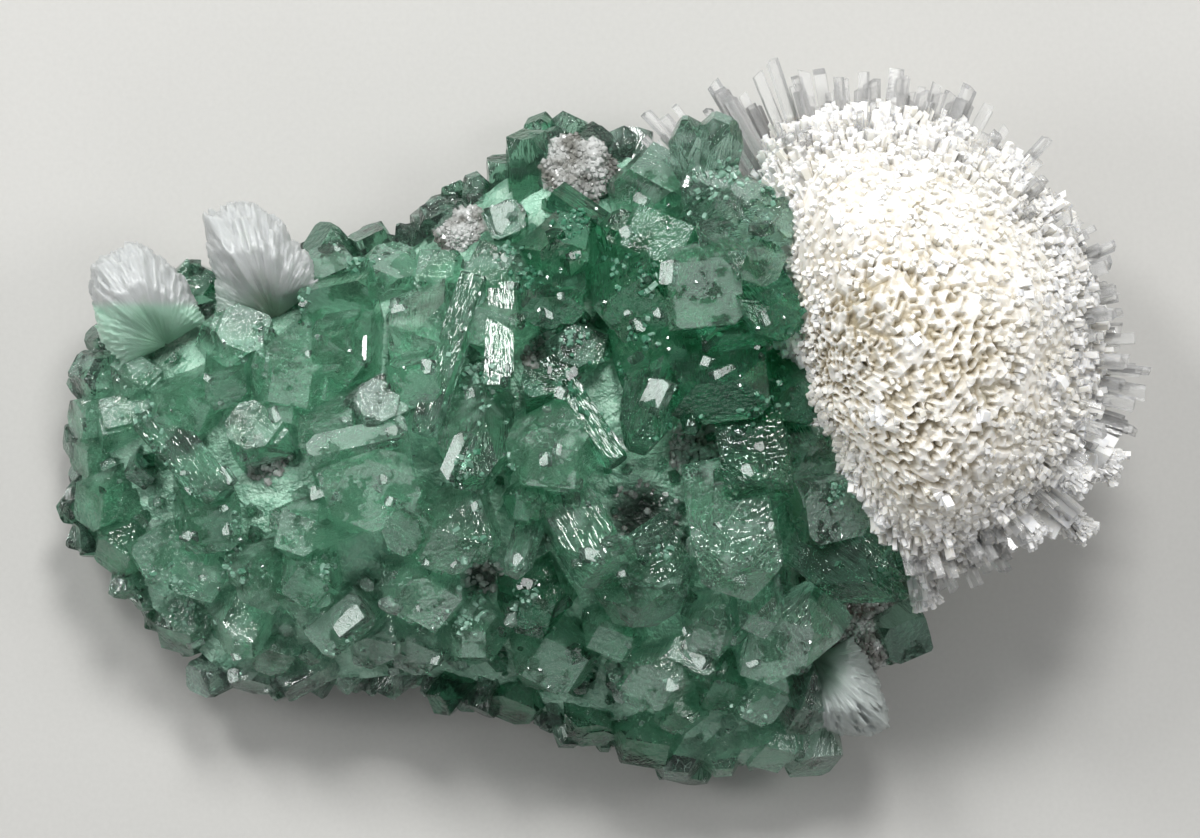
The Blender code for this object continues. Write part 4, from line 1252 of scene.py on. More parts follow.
# The smallest crystals are frosted
frost = add_node(tree, "Attribute", attribute_name="frost").outputs["Fac"]
scatter = add_node(tree, "Math", {0: inner.outputs[0], 1: frost}, operation="MAXIMUM")
clear = add_node(tree, "Mix", {0: tone, 6: "#e4f6ed", 7: "#69ab8c"}, data_type="RGBA")
milk = add_node(tree, "Mix", {0: tone, 6: "#aadcc4", 7: "#4b9171"}, data_type="RGBA")
colour = add_node(tree, "Mix", {
    0: scatter.outputs[0], 6: clear.outputs[2], 7: milk.outputs[2],
}, data_type="RGBA")
through = add_node(tree, "MapRange", {"Value": scatter.outputs[0], "To Min": 0.96, "To Max": 0.3})
rough = add_node(tree, "MapRange", {"Value": scatter.outputs[0], "To Min": 0.02, "To Max": 0.3})
# Growth lines about 0.6 mm apart along the sides, and the shallow hillocks of every face
stretched = add_node(tree, "VectorMath", {0: grain, 1: (1.0, 1.0, 0.15)}, operation="MULTIPLY")
lines = add_node(tree, "TexNoise", {"Vector": stretched.outputs[0], "Scale": 1.6, "Detail": 2.0})
# Some faces are a crowd of small pyramids, 0.9 mm wide, each of which glints on its own
rough_face = add_node(tree, "Attribute", attribute_name="rough").outputs["Fac"]
pyramids = add_node(tree, "TexVoronoi", {"Vector": grain, "Scale": 1.1}, distance="CHEBYCHEV")
uneven = add_node(tree, "Math", {
    0: pyramids.outputs["Distance"], 1: rough_face, 2: lines.outputs[0],
}, operation="MULTIPLY_ADD")
# A few thin crystals have quite flat faces
calm = add_node(tree, "Attribute", attribute_name="calm").outputs["Fac"]
share = add_node(tree, "MapRange", {"Value": calm, "To Min": 1.0, "To Max": 0.2})
height = add_node(tree, "Math", {0: uneven.outputs[0], 1: share.outputs[0]}, operation="MULTIPLY")
relief = add_node(tree, "Bump", {
    "Height": height.outputs[0], "Strength": 0.7, "Distance": 0.4 * MM,
})
fill(shader, {
    "Base Color": colour.outputs[2], "Roughness": rough.outputs[0], "IOR": 1.535,
    "Transmission Weight": through.outputs[0], "Normal": relief.outputs[0],
})
inside = add_node(tree, "VolumeAbsorption", {"Color": "#82e8c8", "Density": 60.0})
tree.links.new(inside.outputs[0], tree.nodes["Material Output"].inputs["Volume"])
paint(crystals, apophyllite)
paint(small_crystals, apophyllite)
print("nodes in the clear green material:", len(tree.nodes))


# %% [markdown]
# ## The ball of scolecite
#
# Scolecite grows in thin white prisms that spread from one point, so densely that they end up as
# a ball. What the eye sees as its skin is the ends of thousands of prisms, with narrow pits
# between them. So the ball is built of its prisms: a cream core closes the pits, and about eight
# thousand square prisms stand out of it by different amounts.
#
# The ball isn't quite round. It is flat where it grew against the green crystals, and shallow
# below. Its reach in each direction comes from three radii and a slight lumpiness.

# %% Ball values, in millimetres
BALL_LUMP = 1.0
BALL_FLAT_SIDE = Vector((-0.93, -0.28, 0.20)).normalized()
BALL_FLAT_REACH = 11.5
BALL_LOW_REACH = 19.0
SPINE_ROOT = 18.0
LOOSE_SPINES = 50
SPINE_SKIN = 26.0
SPINE_PROUD = (1.2, 3.6)
SPINE_HALF_WIDTH = (0.9, 1.6)
# Rods that can be told apart, the same as those of the solid: bearing and rise in degrees, reach
# from the ball's centre, half width. The low ones lie behind its upper left edge
LOW_SPINES = [
    (133, -7, 44.2, 1.5), (137.5, -4, 41.8, 1.3), (128.5, -5, 42.2, 1.4), (123.5, -9, 39.5, 1.5),
    (120, -3, 41.8, 1.9), (115.5, -5, 38.5, 1.6),
]
EDGE_SPINES = [
    (111.5, 3, 40.0, 0.8), (108.5, 6, 41.0, 0.8), (105, 9, 38.8, 1.8),
    (100.5, 4, 38.0, 1.0), (96.5, 12, 37.4, 1.2), (90.5, 5, 37.4, 1.9), (84, 8, 38.2, 1.8),
    (76, 10, 37.2, 1.6), (69, 5, 38.0, 2.1), (65, 2, 37.0, 0.8), (58, 10, 35.6, 1.5),
    (49.5, 4, 37.6, 1.2), (42.5, 8, 33.6, 1.5), (36.5, 3, 33.2, 1.5), (30.5, 7, 33.8, 1.3),
    (22, 3, 36.6, 1.2), (19, 9, 35.4, 1.8), (12.5, 5, 35.0, 1.5), (7.5, 8, 35.4, 1.4),
    (1, 2, 36.8, 1.0), (-4.5, 5, 39.0, 1.2), (-9.5, 3, 38.8, 1.0), (-12, 9, 37.8, 0.9),
    (-17.5, 5, 38.6, 1.9), (-26.5, 9, 38.4, 3.2), (-33, 18, 36.6, 2.8), (-40.8, 6, 39.8, 2.4),
    (-49, 14, 36.0, 2.6), (-57.5, 5, 36.4, 1.9), (-66.5, 9, 33.8, 1.7), (-77, 2, 36.4, 2.4),
]


def bearing(azimuth, rise):
    """The unit vector at this bearing and rise, in degrees."""
    flat = math.cos(math.radians(rise))
    angle = math.radians(azimuth)
    return Vector((flat * math.cos(angle), flat * math.sin(angle), math.sin(math.radians(rise))))


def ball_reach(direction):
    """How far the ball's skin is from its centre in this direction."""
    flat = max(direction.dot(BALL_FLAT_SIDE), 0)
    low = max(-direction.z, 0) * (1 - flat)
    round_share = 1 - flat**2 - low**2
    squared = round_share / BALL_RADIUS**2 + (flat / BALL_FLAT_REACH) ** 2
    squared += (low / BALL_LOW_REACH) ** 2
    return 1 / math.sqrt(squared) + BALL_LUMP * noise.noise(direction * 3.1)


def ball_piece(name, points, faces, white, smooth=False):
    """A piece of the ball that keeps how white each of its points is."""
    piece = add_piece(name, points, faces, "scolecite_ball", smooth)
    store(piece, "white", "POINT", white)
    return piece


print("reach of the ball upwards, mm:", round(ball_reach(Vector((0, 0, 1))), 1))

# %% Core
# How far the core lies under the ball's skin, in mm
CORE_SINK = 1.3

unit_points, core_faces = icosphere(5)
core_points = []
for point in unit_points:
    direction = point.normalized()
    grain = 0.5 * noise.noise(direction * 40) + 0.3 * noise.noise(direction * 90)
    core_points.append(BALL_CENTRE + direction * (ball_reach(direction) - CORE_SINK + grain))
core = ball_piece("scolecite_core", core_points, core_faces, [0.0] * len(core_points), True)

# %% [markdown]
# Where the ball faces up, its skin is a honeycomb: thin white walls between open pits a good
# millimetre wide. A finer patch of the ball carries it. Seeds are spread on a spiral of golden
# angles, and each point of the patch asks for its two nearest seeds. Where both are equally far
# there is a wall, and elsewhere the skin sinks in, in each cell by another amount.

# %% Honeycomb values and helpers
CELL_SEEDS = 9000
# The share of cells that are open, how deep those are and how far the filled ones stand out
OPEN_CELLS = 0.72
PIT_DEPTH = (0.35, 1.5)
FILLED_DEPTH = (-0.5, 0.2)
# The wall ends and the pit begins between these differences of the distances to two seeds
WALL = (0.10, 0.34)
# Middle of the honeycomb, and the cosine to it at which it ends, a few millimetres sunk
COMB_AXIS = Vector((0.0, -0.08, 1.0)).normalized()
COMB_EDGE = 0.42
COMB_SUNK = 3.0
# Middle of the deepest pits
PIT_AXIS = Vector((0.06, -0.2, 0.97)).normalized()


def golden_direction(i, count, height_span=2.0):
    """One of count directions, spread evenly over a ball, or over the top part of it."""
    height = 1 - height_span * (i + 0.5) / count
    flat = math.sqrt(1 - height * height)
    turn = math.pi * (3 - math.sqrt(5)) * i
    return Vector((flat * math.cos(turn), flat * math.sin(turn), height))


def scattered(draw):
    """A random vector, with no direction more likely than another."""
    return Vector((draw.gauss(0, 1), draw.gauss(0, 1), draw.gauss(0, 1)))


def smooth_step(low, high, value):
    """0 up to low and 1 from high, with a soft passage."""
    share = min(max((value - low) / (high - low), 0), 1)
    return share * share * (3 - 2 * share)


print("directions near the top:", [round(v, 3) for v in golden_direction(0, CELL_SEEDS)])

# %% Honeycomb
draw = random.Random(19)
seeds = KDTree(CELL_SEEDS)
depths = []
for i in range(CELL_SEEDS):
    nudge = scattered(draw) * 0.011
    seeds.insert((golden_direction(i, CELL_SEEDS) + nudge).normalized() * BALL_RADIUS, i)
    depths.append(draw.uniform(*(PIT_DEPTH if draw.random() < OPEN_CELLS else FILLED_DEPTH)))
seeds.balance()

unit_points, unit_faces = icosphere(7)
kept = {}
comb_points = []
comb_white_and_pit_shade = []
comb_faces = []
for face in unit_faces:
    if min(unit_points[i].dot(COMB_AXIS) for i in face) < COMB_EDGE:
        continue
    for i in face:
        if i in kept:
            continue
        kept[i] = len(comb_points)
        direction = unit_points[i].normalized()
        (_, cell, near), (_, _, second) = seeds.find_n(direction * BALL_RADIUS, 2)
        pit = smooth_step(*WALL, second - near)
        rough = 0.16 * noise.noise(direction * 90) + 0.5 * noise.noise(direction * 9.0)
        deep = 0.25 + 0.75 * smooth_step(0.72, 0.92, direction.dot(PIT_AXIS))
        edge = smooth_step(COMB_EDGE + 0.12, COMB_EDGE, direction.dot(COMB_AXIS))
        sink = pit * depths[cell] * deep + COMB_SUNK * edge
        comb_points.append(BALL_CENTRE + direction * (ball_reach(direction) + rough - sink))
        # Painted shade: a pit is darker the deeper it is, and most near the middle of the deep pits
        comb_white_and_pit_shade.append(1 - pit * smooth_step(-0.4, 1.2, depths[cell]) * (0.35 + 0.65 * deep))
    comb_faces.append(tuple(kept[i] for i in face))
comb = ball_piece("scolecite_comb", comb_points, comb_faces, comb_white_and_pit_shade)

# %% [markdown]
# Prisms are spread evenly over the rest of the ball and then nudged. Towards its edge they are
# longer, whiter and bundled in lumps, and on the honeycomb only a few sit on the walls. Each
# prism keeps how white it is: the ends that stand out are snow white, partly painted light, and
# the ones deep down and the roots keep the cream of the core, partly painted shade between the
# prisms.

# %% One prism
PRISM_FACES = [(3, 2, 1, 0), (4, 5, 6, 7), (0, 1, 5, 4), (1, 2, 6, 5), (2, 3, 7, 6), (3, 0, 4, 7)]
# The root of a prism has this share of the whiteness of its end, as painted shade between the prisms
SHADED_ROOT_WHITE = 0.55


def prism_corners(root, aim, length, half_a, half_b, spin, slant):
    """A square prism from its root along aim, its end cut at a slant."""
    turn = aim.to_track_quat("Z", "Y").to_matrix() @ Matrix.Rotation(spin, 3, "Z")
    corners = []
    for z in (0.0, length):
        for sx, sy in ((1, 1), (-1, 1), (-1, -1), (1, -1)):
            end = z + (sx * slant * half_a if z else 0)
            corners.append(root + turn @ Vector((sx * half_a, sy * half_b, end)))
    return corners


class Prisms:
    """Many prisms gathered for one mesh, with how white each of their points is."""

    def __init__(self):
        self.points = []
        self.faces = []
        self.white = []

    def add(self, corners, white):
        append_form(self.points, self.faces, corners, PRISM_FACES)
        self.white += [white * SHADED_ROOT_WHITE] * 4 + [white] * 4


def taken(point, margin=0.4):
    """True where a point would be in the rock, the bed or a large crystal."""
    if point.z < 0.6:
        return True
    if rock_share(point.x, point.y) < 1.0:
        if point.z < rock_height(point.x, point.y) + bed_swell(point.x, point.y) + margin:
            return True
    return any(inside_form(form, point, margin) for form in forms)


print("faces of a prism:", len(PRISM_FACES))

# %% Prisms of the skin
SKIN_PRISMS = 16500
# Length of a prism under the ball's skin, in mm
BURIED = 2.2

draw = random.Random(23)
skin = Prisms()
for i in range(SKIN_PRISMS):
    direction = (golden_direction(i, SKIN_PRISMS) + scattered(draw) * 0.006).normalized()
    reach = ball_reach(direction)
    if taken(BALL_CENTRE + direction * (reach - 0.5), 0.0):
        continue
    # 1 where the ball faces up, 0 at the snowy edge
    up = direction.dot(COMB_AXIS)
    on_comb = smooth_step(COMB_EDGE + 0.05, 0.74, up)
    pitted = smooth_step(0.74, 0.9, direction.dot(PIT_AXIS))
    lumps = noise.noise(direction * 7.0) + 0.6 * noise.noise(direction * 15.0)
    if draw.random() < max(0.62 * on_comb, 0.93 * pitted) + 0.03:
        continue
    half = draw.uniform(0.27, 0.42) + (1 - on_comb) * draw.uniform(0.0, 0.14)
    proud = 0.1 + on_comb * draw.uniform(0.1, 0.6)
    uneven = draw.uniform(-0.35, 0.45) + 1.6 * draw.random() ** 8
    proud += (1 - on_comb) * (0.35 + 1.1 * lumps + uneven)
    lean = scattered(draw) * (0.05 + 0.13 * (1 - on_comb))
    aim = (direction + lean).normalized()
    root = BALL_CENTRE + direction * (reach - BURIED)
    # Prisms of the lumps that stand out are whiter than the low ones: partly painted light and shade
    white = 0.45 + 0.3 * (1 - on_comb) + 0.35 * lumps + draw.uniform(-0.1, 0.2)
    corners = prism_corners(
        root, aim, BURIED + proud, half, half * draw.uniform(0.75, 1.0),
        draw.uniform(0, math.pi), draw.uniform(-0.5, 0.5),
    )
    skin.add(corners, min(max(white, 0), 1))
prisms = ball_piece("scolecite_prisms", skin.points, skin.faces, skin.white)


# %% [markdown]
# At the edge of the ball single prisms grew on into the open. They are clear like glass, with a
# square section and a slanted end, and most stand in bundles of two to five. The stout ones at
# the lower right are whole fingers, crusted all round with small white prisms.

# %% One bundle
# Spines of this half width or more are fingers, and each gets this many small prisms
FINGER_WIDTH = 2.3
FINGER_CRUST = 260


def bundle(rods, snow, direction, reach, half_width, draw):
    """A spine of the ball as a bundle of prisms; a stout one gets a crust of small ones."""
    start = BALL_CENTRE + direction * SPINE_ROOT
    aim_up = direction.to_track_quat("Z", "Y").to_matrix()
    stout = half_width >= FINGER_WIDTH
    count = 9 if stout else (4 if half_width > 1.4 else (3 if half_width > 1.0 else 1))
    for k in range(count):
        share = 1.0 if k == 0 else draw.uniform(0.82, 0.97)
        room = half_width * (0.62 if count > 1 else 0.1)
        turn = 2 * math.pi * (k + draw.random() * 0.5) / count
        radius = 0 if k == 0 else room * draw.uniform(0.7, 1.0)
        side = aim_up @ Vector((math.cos(turn) * radius, math.sin(turn) * radius, 0))
        half = half_width * (0.9 if count == 1 else draw.uniform(0.36, 0.5))
        lean = aim_up @ Vector((draw.gauss(0, 0.02), draw.gauss(0, 0.02), 0))
        length = (reach - SPINE_ROOT) * share
        corners = prism_corners(
            start + side, (direction + lean).normalized(), length, half,
            half * draw.uniform(0.7, 0.95), draw.uniform(0, 1.5), draw.uniform(-0.5, 0.5),
        )
        (snow if stout else rods).add(corners, 0.9)
    if not stout:
        return
    skin_reach = ball_reach(direction)
    for k in range(FINGER_CRUST):
        along = draw.uniform(skin_reach - 3, reach - 0.3)
        turn = draw.uniform(0, 2 * math.pi)
        out = aim_up @ Vector((math.cos(turn), math.sin(turn), 0))
        root = BALL_CENTRE + direction * along + out * half_width * 0.55
        aim = (out * draw.uniform(0.15, 0.8) + direction * draw.uniform(0.9, 1.5)).normalized()
        half = draw.uniform(0.2, 0.38)
        corners = prism_corners(
            root, aim, draw.uniform(0.7, 1.7), half, half,
            draw.uniform(0, 1.5), draw.uniform(-0.4, 0.4),
        )
        snow.add(corners, draw.uniform(0.7, 1.0))


print("small prisms on a finger:", FINGER_CRUST)

# %% Rods and fingers
# More slim rods between the ones that the solid has, none longer than those
SLIM_RODS = 150
# The loose spines cover the ball down to this height, as a share of its radius from the top
LOOSE_SPAN = 1.4

draw = random.Random(31)
rods = Prisms()
snow = Prisms()
for azimuth, rise, reach, half_width in EDGE_SPINES + LOW_SPINES:
    bundle(rods, snow, bearing(azimuth, rise), reach, half_width, draw)
for i in range(LOOSE_SPINES):
    direction = golden_direction(i, LOOSE_SPINES, LOOSE_SPAN)
    skin_reach = ball_reach(direction)
    half_width = draw.uniform(*SPINE_HALF_WIDTH)
    if skin_reach < SPINE_SKIN or taken(BALL_CENTRE + direction * skin_reach):
        continue
    # The ones that face up end as low mounds of prisms, the ones at the edge stand free
    upright = smooth_step(0.45, 0.9, direction.z)
    reach = skin_reach + draw.uniform(*SPINE_PROUD) * (1 - 0.6 * upright)
    bundle(snow if upright > 0.3 else rods, snow, direction, reach, half_width, draw)
for k in range(SLIM_RODS):
    azimuth, rise = draw.uniform(-80, 120), draw.uniform(-14, 26)
    direction = bearing(azimuth, rise)
    skin_reach = ball_reach(direction)
    if taken(BALL_CENTRE + direction * (skin_reach + 1)):
        continue
    reach = skin_reach + 0.8 + 3.4 * draw.random() ** 1.6
    bundle(rods, snow, direction, reach, draw.uniform(0.35, 1.15), draw)
glassy = ball_piece("scolecite_rods", rods.points, rods.faces, rods.white)
fingers = ball_piece("scolecite_fingers", snow.points, snow.faces, snow.white)

# %% [markdown]
# Scolecite has an IOR of 1.51. One prism is clear, but where thousands stand side by side the
# light is scattered back and they look white, with cream in the pits, which is partly painted
# shade. So the dense prisms are opaque, and light spreads a millimetre under their skin, while the
# free rods let most of it through. The colours are those of the pits, with their painted shade, and
# of the ends.

# %% Scolecite
def scolecite_material(name, deep, pale, through, roughness, glow):
    """Cream to white by the stored whiteness, this clear, rough and soft."""
    material, tree, shader = new_material(name)
    white = add_node(tree, "Attribute", attribute_name="white").outputs["Fac"]
    place = add_node(tree, "TexCoord").outputs["Object"]
    # Stains of about 9 mm and frost of 0.4 mm
    stains = add_node(tree, "TexNoise", {"Vector": place, "Scale": 1 / (9 * MM), "Detail": 3.0})
    frost = add_node(tree, "TexNoise", {"Vector": place, "Scale": 1 / (0.4 * MM), "Detail": 2.0})
    shift = add_node(tree, "MapRange", {"Value": stains.outputs[0], "To Min": -0.25, "To Max": 0.25})
    share = add_node(tree, "Math", {0: white, 1: shift.outputs[0]}, operation="ADD", use_clamp=True)
    # deep is the colour where the stored whiteness is nought: the cream of the core, the pits and the
    # roots, partly painted shade
    colour = add_node(tree, "Mix", {0: share.outputs[0], 6: deep, 7: pale}, data_type="RGBA")
    relief = add_node(tree, "Bump", {
        "Height": frost.outputs[0], "Strength": 0.4, "Distance": 0.12 * MM,
    })
    fill(shader, {
        "Base Color": colour.outputs[2], "Roughness": roughness, "IOR": 1.51,
        "Transmission Weight": through, "Normal": relief.outputs[0],
        "Subsurface Weight": glow, "Subsurface Radius": (1.0, 0.92, 0.78),
        "Subsurface Scale": 1.0 * MM,
    })
    return material


# The core shows only in the gaps between the prisms, and its cream is partly painted shade
paint(core, scolecite_material("scolecite_core_cream", "#cfc8b4", "#ebe7dd", 0.0, 0.6, 0.0))
paint(comb, scolecite_material("scolecite_honeycomb", "#bcb095", "#eeebe4", 0.0, 0.45, 0.5))
paint(prisms, scolecite_material("scolecite_dense_prisms", "#e6dfce", "#faf8f4", 0.0, 0.35, 0.6))
paint(fingers, scolecite_material("scolecite_white_crust", "#ebe7dc", "#faf9f6", 0.0, 0.3, 0.5))
paint(glassy, scolecite_material("scolecite_clear_rods", "#fafaf7", "#fdfdfc", 0.75, 0.1, 0.0))


# %% [markdown]
# ## The fans of stilbite
#
# Stilbite grows in sheaves: thin blades, pressed together at the waist, spread like a fan. They
# fit so closely that the sheaf looks like one pearly body with fine lines from the waist to the
# rim, and only at the rim the blunt ends of blades stand out. Loose blades would look like a
# feather. So each fan is one closed skin, swept round the waist like a slice of melon, with ridges
# along the rays and steps at the rim.

# %% Fan values, in millimetres
# name, waist, bearing and reach of points round the rim
FANS = [
    (
        "stilbite_fan_left", (-60.8, 9.9, 17.0),
        [(197, 6.8), (172, 9.2), (152, 11.0), (144, 13.0), (134, 14.8), (126, 15.4), (121, 14.6),
         (115, 15.0), (105, 14.6), (100, 13.4), (93, 12.1), (85, 10.8), (62, 7.7), (40, 6.4)],
    ),
    (
        "stilbite_fan_upper", (-45.7, 13.3, 18.0),
        [(168, 8.0), (158, 8.6), (143, 10.4), (130, 14.8), (122.5, 17.8), (112, 17.0), (107, 17.2),
         (101.5, 16.3), (93, 14.6), (86.5, 13.7), (80, 11.8), (60, 9.8), (48, 8.0)],
    ),
    (
        "stilbite_fan_lower", (28.6, -33.4, 12.5),
        [(20, 6.2), (-8, 8.0), (-28, 10.8), (-41, 14.0), (-54, 13.2), (-70, 11.2), (-88, 9.4)],
    ),
]
FAN_SLICES = 130
# Steps from the waist over the top to the rim, round the rim, and back below
FAN_TOP_STEPS, FAN_RIM_STEPS, FAN_LOW_STEPS = 26, 26, 8
# How far the blades rise and fall from level, in degrees
FAN_RISE = 47.0
FAN_FALL = -24.0
# The left fan is green below this line: full green and none, in y
GREEN_LINE = (14.6, 16.2)


def fan_reach(row, azimuth):
    """The fan's reach at this bearing, between the reaches that are given."""
    marks = sorted(row[2])
    if azimuth <= marks[0][0]:
        return marks[0][1]
    for (low, near), (high, far) in zip(marks, marks[1:]):
        if azimuth <= high:
            share = (azimuth - low) / (high - low)
            return near + (far - near) * share
    return marks[-1][1]


def fan_outline(row, share):
    """(rise, share of the reach) of points from the waist over the rim and back, in one slice."""
    # The fan is thick in the middle and closes towards both its ends
    full = max(1 - abs(2 * share - 1) ** 3.2, 0.0) ** 0.5
    middle = 0.5 * (FAN_RISE + FAN_FALL) - 4
    high = middle + (FAN_RISE - middle) * full
    low = middle + (FAN_FALL - middle) * full
    outline = []
    for k in range(FAN_TOP_STEPS):
        out = 0.03 + 0.97 * k / FAN_TOP_STEPS
        outline.append((high + 12 * full * math.sin(math.pi * out), out * 0.90))
    for k in range(FAN_RIM_STEPS):
        turn = k / (FAN_RIM_STEPS - 1)
        outline.append((high + (low - high) * turn, 0.90 + 0.12 * math.sin(math.pi * turn)))
    for k in range(1, FAN_LOW_STEPS + 1):
        outline.append((low, 0.90 - 0.87 * k / FAN_LOW_STEPS))
    return outline


def fan_shape(row, seed):
    """The skin of one fan, and each point's share of the reach, of the spread, and its ray."""
    waist = Vector(row[1])
    marks = sorted(row[2])
    first, last = marks[0][0] - 9, marks[-1][0] + 9
    points = []
    tips = []
    ends = []
    rays = []
    for i in range(FAN_SLICES + 1):
        share = i / FAN_SLICES
        azimuth = first + (last - first) * share
        for rise, out in fan_outline(row, share):
            ray = Vector((azimuth * 0.42, rise * 0.13, seed))
            # Ends of single blades, each a little longer or shorter than the next
            blade = noise.cell(ray * 0.8) - 0.5
            leaf = noise.noise(ray * 1.7)
            near_rim = smooth_step(0.6, 1.0, out)
            length = fan_reach(row, azimuth) * (out + near_rim * (0.035 * blade + 0.03 * leaf))
            ridge = 0.9 * noise.noise(ray * 0.3) + 0.3 * noise.noise(ray * 2.0)
            flat = bearing(azimuth, rise + ridge * (1 - 0.4 * near_rim))
            points.append(waist + flat * length)
            tips.append(out)
            ends.append(share)
            rays.append((azimuth, rise, 8 * out))
    steps = FAN_TOP_STEPS + FAN_RIM_STEPS + FAN_LOW_STEPS
    faces = []
    for i in range(FAN_SLICES):
        for k in range(steps):
            a = i * steps + k
            b = i * steps + (k + 1) % steps
            faces.append((a, b, b + steps, a + steps))
    faces.append(tuple(range(steps - 1, -1, -1)))
    faces.append(tuple(range(FAN_SLICES * steps, (FAN_SLICES + 1) * steps)))
    return points, faces, tips, ends, rays


fans = []
for number, row in enumerate(FANS):
    points, faces, tips, ends, rays = fan_shape(row, 3.7 * number)
    fan = add_piece(row[0] + "_sheaf", points, faces, row[0], smooth=True)
    store(fan, "tip", "POINT", tips)
    store(fan, "ray", "POINT", rays)
    # The left fan is green below a level line, the others along one side
    if row[0] == "stilbite_fan_left":
        greens = [smooth_step(GREEN_LINE[1], GREEN_LINE[0], point.y) for point in points]
    else:
        greens = [smooth_step(0.66, 0.9, end) for end in ends]
    store(fan, "green", "POINT", greens)
    fans.append(fan)

# %% [markdown]
# Stilbite is a soft white zeolite, IOR 1.50. Light goes a millimetre or two into it and comes out
# softened, which gives the pearly glow. The colour runs from a darker grey green at the waist,
# painted light of the green crystals that shine through, to a pale grey at the rim. The left fan
# has a band of mint green along its lower end, and the others only a hint of it.

# %% Stilbite
def stilbite_material(name, painted_waist_colour, rim_colour, green_share):
    """Pearly grey white, with as much mint green as green_share in the green part."""
    material, tree, shader = new_material(name)
    tip = add_node(tree, "Attribute", attribute_name="tip").outputs["Fac"]
    green = add_node(tree, "Attribute", attribute_name="green").outputs["Fac"]
    place = add_node(tree, "TexCoord").outputs["Object"]
    patches = add_node(tree, "TexNoise", {"Vector": place, "Scale": 1 / (4 * MM), "Detail": 3.0})
    moved = add_node(tree, "Math", {0: patches.outputs[0], 1: tip}, operation="ADD")
    share = add_node(tree, "MapRange", {"Value": moved.outputs[0], "From Min": 0.75, "From Max": 1.3})
    # Painted light: the waist's darker grey green stands for the green crystals shining through
    white = add_node(tree, "Mix", {
        0: share.outputs[0], 6: painted_waist_colour, 7: rim_colour,
    }, data_type="RGBA")
    band = add_node(tree, "Math", {0: green, 1: green_share}, operation="MULTIPLY")
    colour = add_node(tree, "Mix", {
        0: band.outputs[0], 6: white.outputs[2], 7: "#9ccab0",
    }, data_type="RGBA")
    # Edges of the thin blades run along the rays, a degree or two apart
    ray = add_node(tree, "Attribute", attribute_name="ray").outputs["Vector"]
    edges = add_node(tree, "TexNoise", {"Vector": ray, "Scale": 0.45, "Detail": 4.0})
    relief = add_node(tree, "Bump", {
        "Height": edges.outputs[0], "Strength": 0.3, "Distance": 0.3 * MM,
    })
    fill(shader, {
        "Base Color": colour.outputs[2], "Roughness": 0.3, "IOR": 1.5,
        "Normal": relief.outputs[0], "Subsurface Weight": 0.5,
        "Subsurface Radius": (1.0, 1.0, 0.9), "Subsurface Scale": 1.2 * MM,
    })
    return material


for fan, values in zip(fans, (
    ("stilbite_white_and_mint", "#8d9c89", "#b0b3b2", 0.75),
    ("stilbite_white", "#939e8f", "#b1b4b3", 0.3),
    ("stilbite_grey_white", "#84948a", "#a9b0ad", 0.1),
)):
    paint(fan, stilbite_material(*values))


# %% [markdown]
# ## Druse of quartz
#
# The bare knobs sparkle with druse: a skin of quartz crystals of about a millimetre, grey where
# the rock shows through. Some of it sits in the hollows, and some on the bare rock between the
# ball and the lower fan. Each crystal is a six-sided point, thrown on like the small green ones.

# %% One grain of druse
# Half width of a grain, in mm
GRAIN_SIZE = (0.2, 0.65)


def grain_corners(spot, normal, size, draw):
    """A six-sided point rooted at this spot, about along the normal."""
    turn = Vector(normal).to_track_quat("Z", "Y").to_matrix()
    tilt = Matrix.Rotation(draw.gauss(0, 0.5), 3, "X") @ Matrix.Rotation(draw.gauss(0, 0.5), 3, "Y")
    corners = []
    for radius, z in ((0.8, -0.6), (0.9, 0.5)):
        for k in range(6):
            angle = math.pi * k / 3
            corners.append(Vector((radius * math.cos(angle), radius * math.sin(angle), z)))
    corners.append(Vector((draw.uniform(-0.2, 0.2), draw.uniform(-0.2, 0.2), 1.35)))
    return [Vector(spot) + turn @ (tilt @ (corner * size)) for corner in corners]


GRAIN_FACES = [(5, 4, 3, 2, 1, 0)]
GRAIN_FACES += [(k, (k + 1) % 6, 6 + (k + 1) % 6, 6 + k) for k in range(6)]
GRAIN_FACES += [(6 + k, 6 + (k + 1) % 6, 12) for k in range(6)]
print("faces of a grain:", len(GRAIN_FACES))

# %% Druse
# Grains on a knob, in a square millimetre of a hollow, and on the bare rock
KNOB_GRAINS = 700
HOLLOW_GRAINS = 16
BARE_MIDDLE, BARE_RADIUS, BARE_GRAINS = (36.5, -26.0), 6.5, 620

draw = random.Random(53)
druse_points = []
druse_faces = []


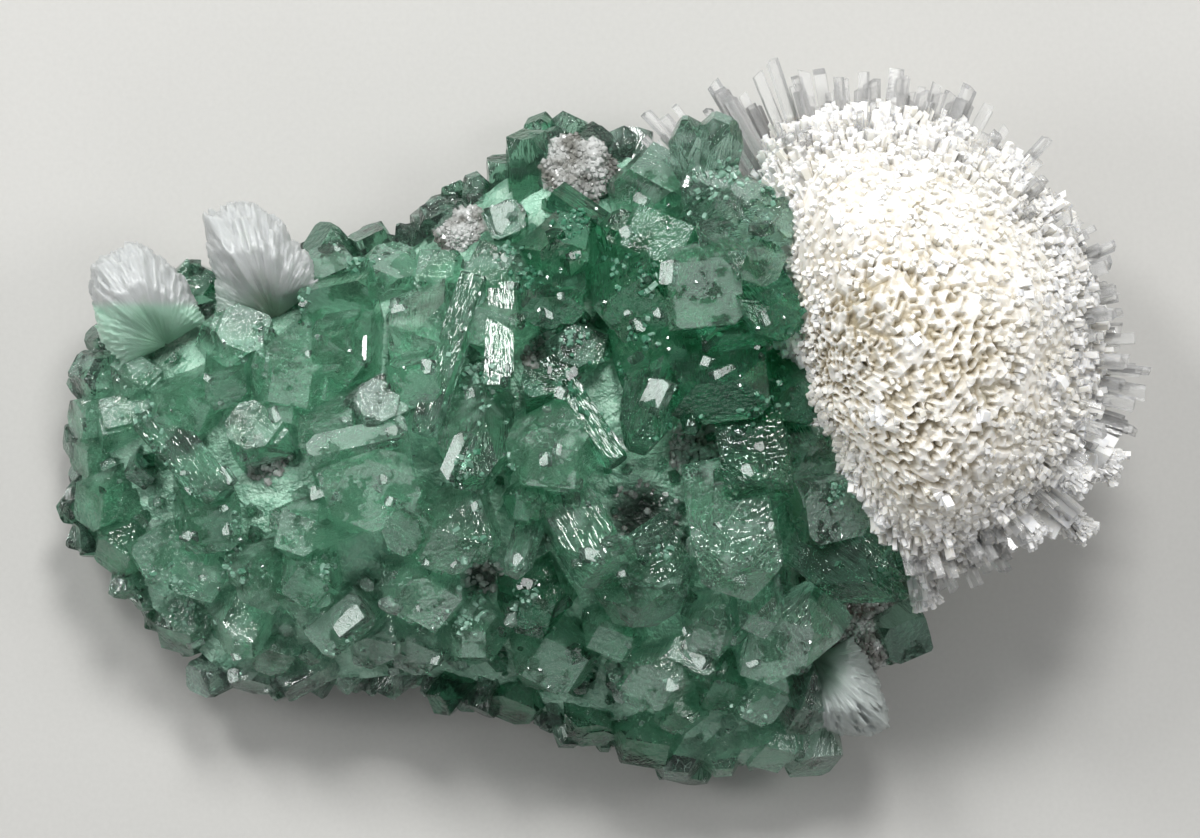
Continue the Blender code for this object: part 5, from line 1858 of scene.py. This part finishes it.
def add_grain(spot, normal):
    """Adds a grain of random size to the druse."""
    corners = grain_corners(spot, normal, draw.uniform(*GRAIN_SIZE), draw)
    append_form(druse_points, druse_faces, corners, GRAIN_FACES)


def strew(surface, x, y, radius, count):
    """Grains on this surface, spread evenly over a round patch."""
    for _ in range(count):
        turn, far = draw.uniform(0, 2 * math.pi), radius * math.sqrt(draw.random())
        at_x, at_y = x + far * math.cos(turn), y + far * math.sin(turn)
        spot, normal = hit_below(surface, at_x, at_y, ABOVE_BED)
        if spot is not None:
            add_grain(spot, normal)


knob_tree = tree_of(knob_points, knob_faces)
for x, y, z, radius in ROCK_KNOBS:
    middle = Vector((x, y, z))
    for k in range(KNOB_GRAINS):
        out = golden_direction(k, KNOB_GRAINS)
        spot, normal, _, _ = knob_tree.ray_cast(middle + out * radius * 2, -out)
        if spot is None or draw.random() < 0.1 or out.z < -0.5 or taken(spot, 0.0):
            continue
        add_grain(spot, normal)
for x, y, radius, _, share in HOLLOWS:
    strew(bed_tree, x, y, radius, int(HOLLOW_GRAINS * share * radius * radius))
strew(tree_of(rock_points, rock_faces), *BARE_MIDDLE, BARE_RADIUS, BARE_GRAINS)
druse = add_piece("quartz_druse", druse_points, druse_faces, "basalt_matrix")

# %% [markdown]
# Quartz has an IOR of 1.544. These small crystals are glassy but full of cracks, so only a part of
# the light goes through, and they look like grey sugar with single sparks. Under them the knobs
# are a crust of the same quartz.

# %% Quartz
quartz, tree, shader = new_material("quartz_druse_grey")
place = add_node(tree, "TexCoord").outputs["Object"]
patches = add_node(tree, "TexNoise", {"Vector": place, "Scale": 1 / (3 * MM), "Detail": 4.0})
contrast = add_node(tree, "MapRange", {
    "Value": patches.outputs[0], "From Min": 0.38, "From Max": 0.62,
})
colour = add_node(tree, "Mix", {
    0: contrast.outputs[0], 6: "#85857e", 7: "#d4d6d3",
}, data_type="RGBA")
fill(shader, {
    "Base Color": colour.outputs[2], "Roughness": 0.18, "IOR": 1.544, "Transmission Weight": 0.25,
})
paint(druse, quartz)
paint(knobs, quartz)
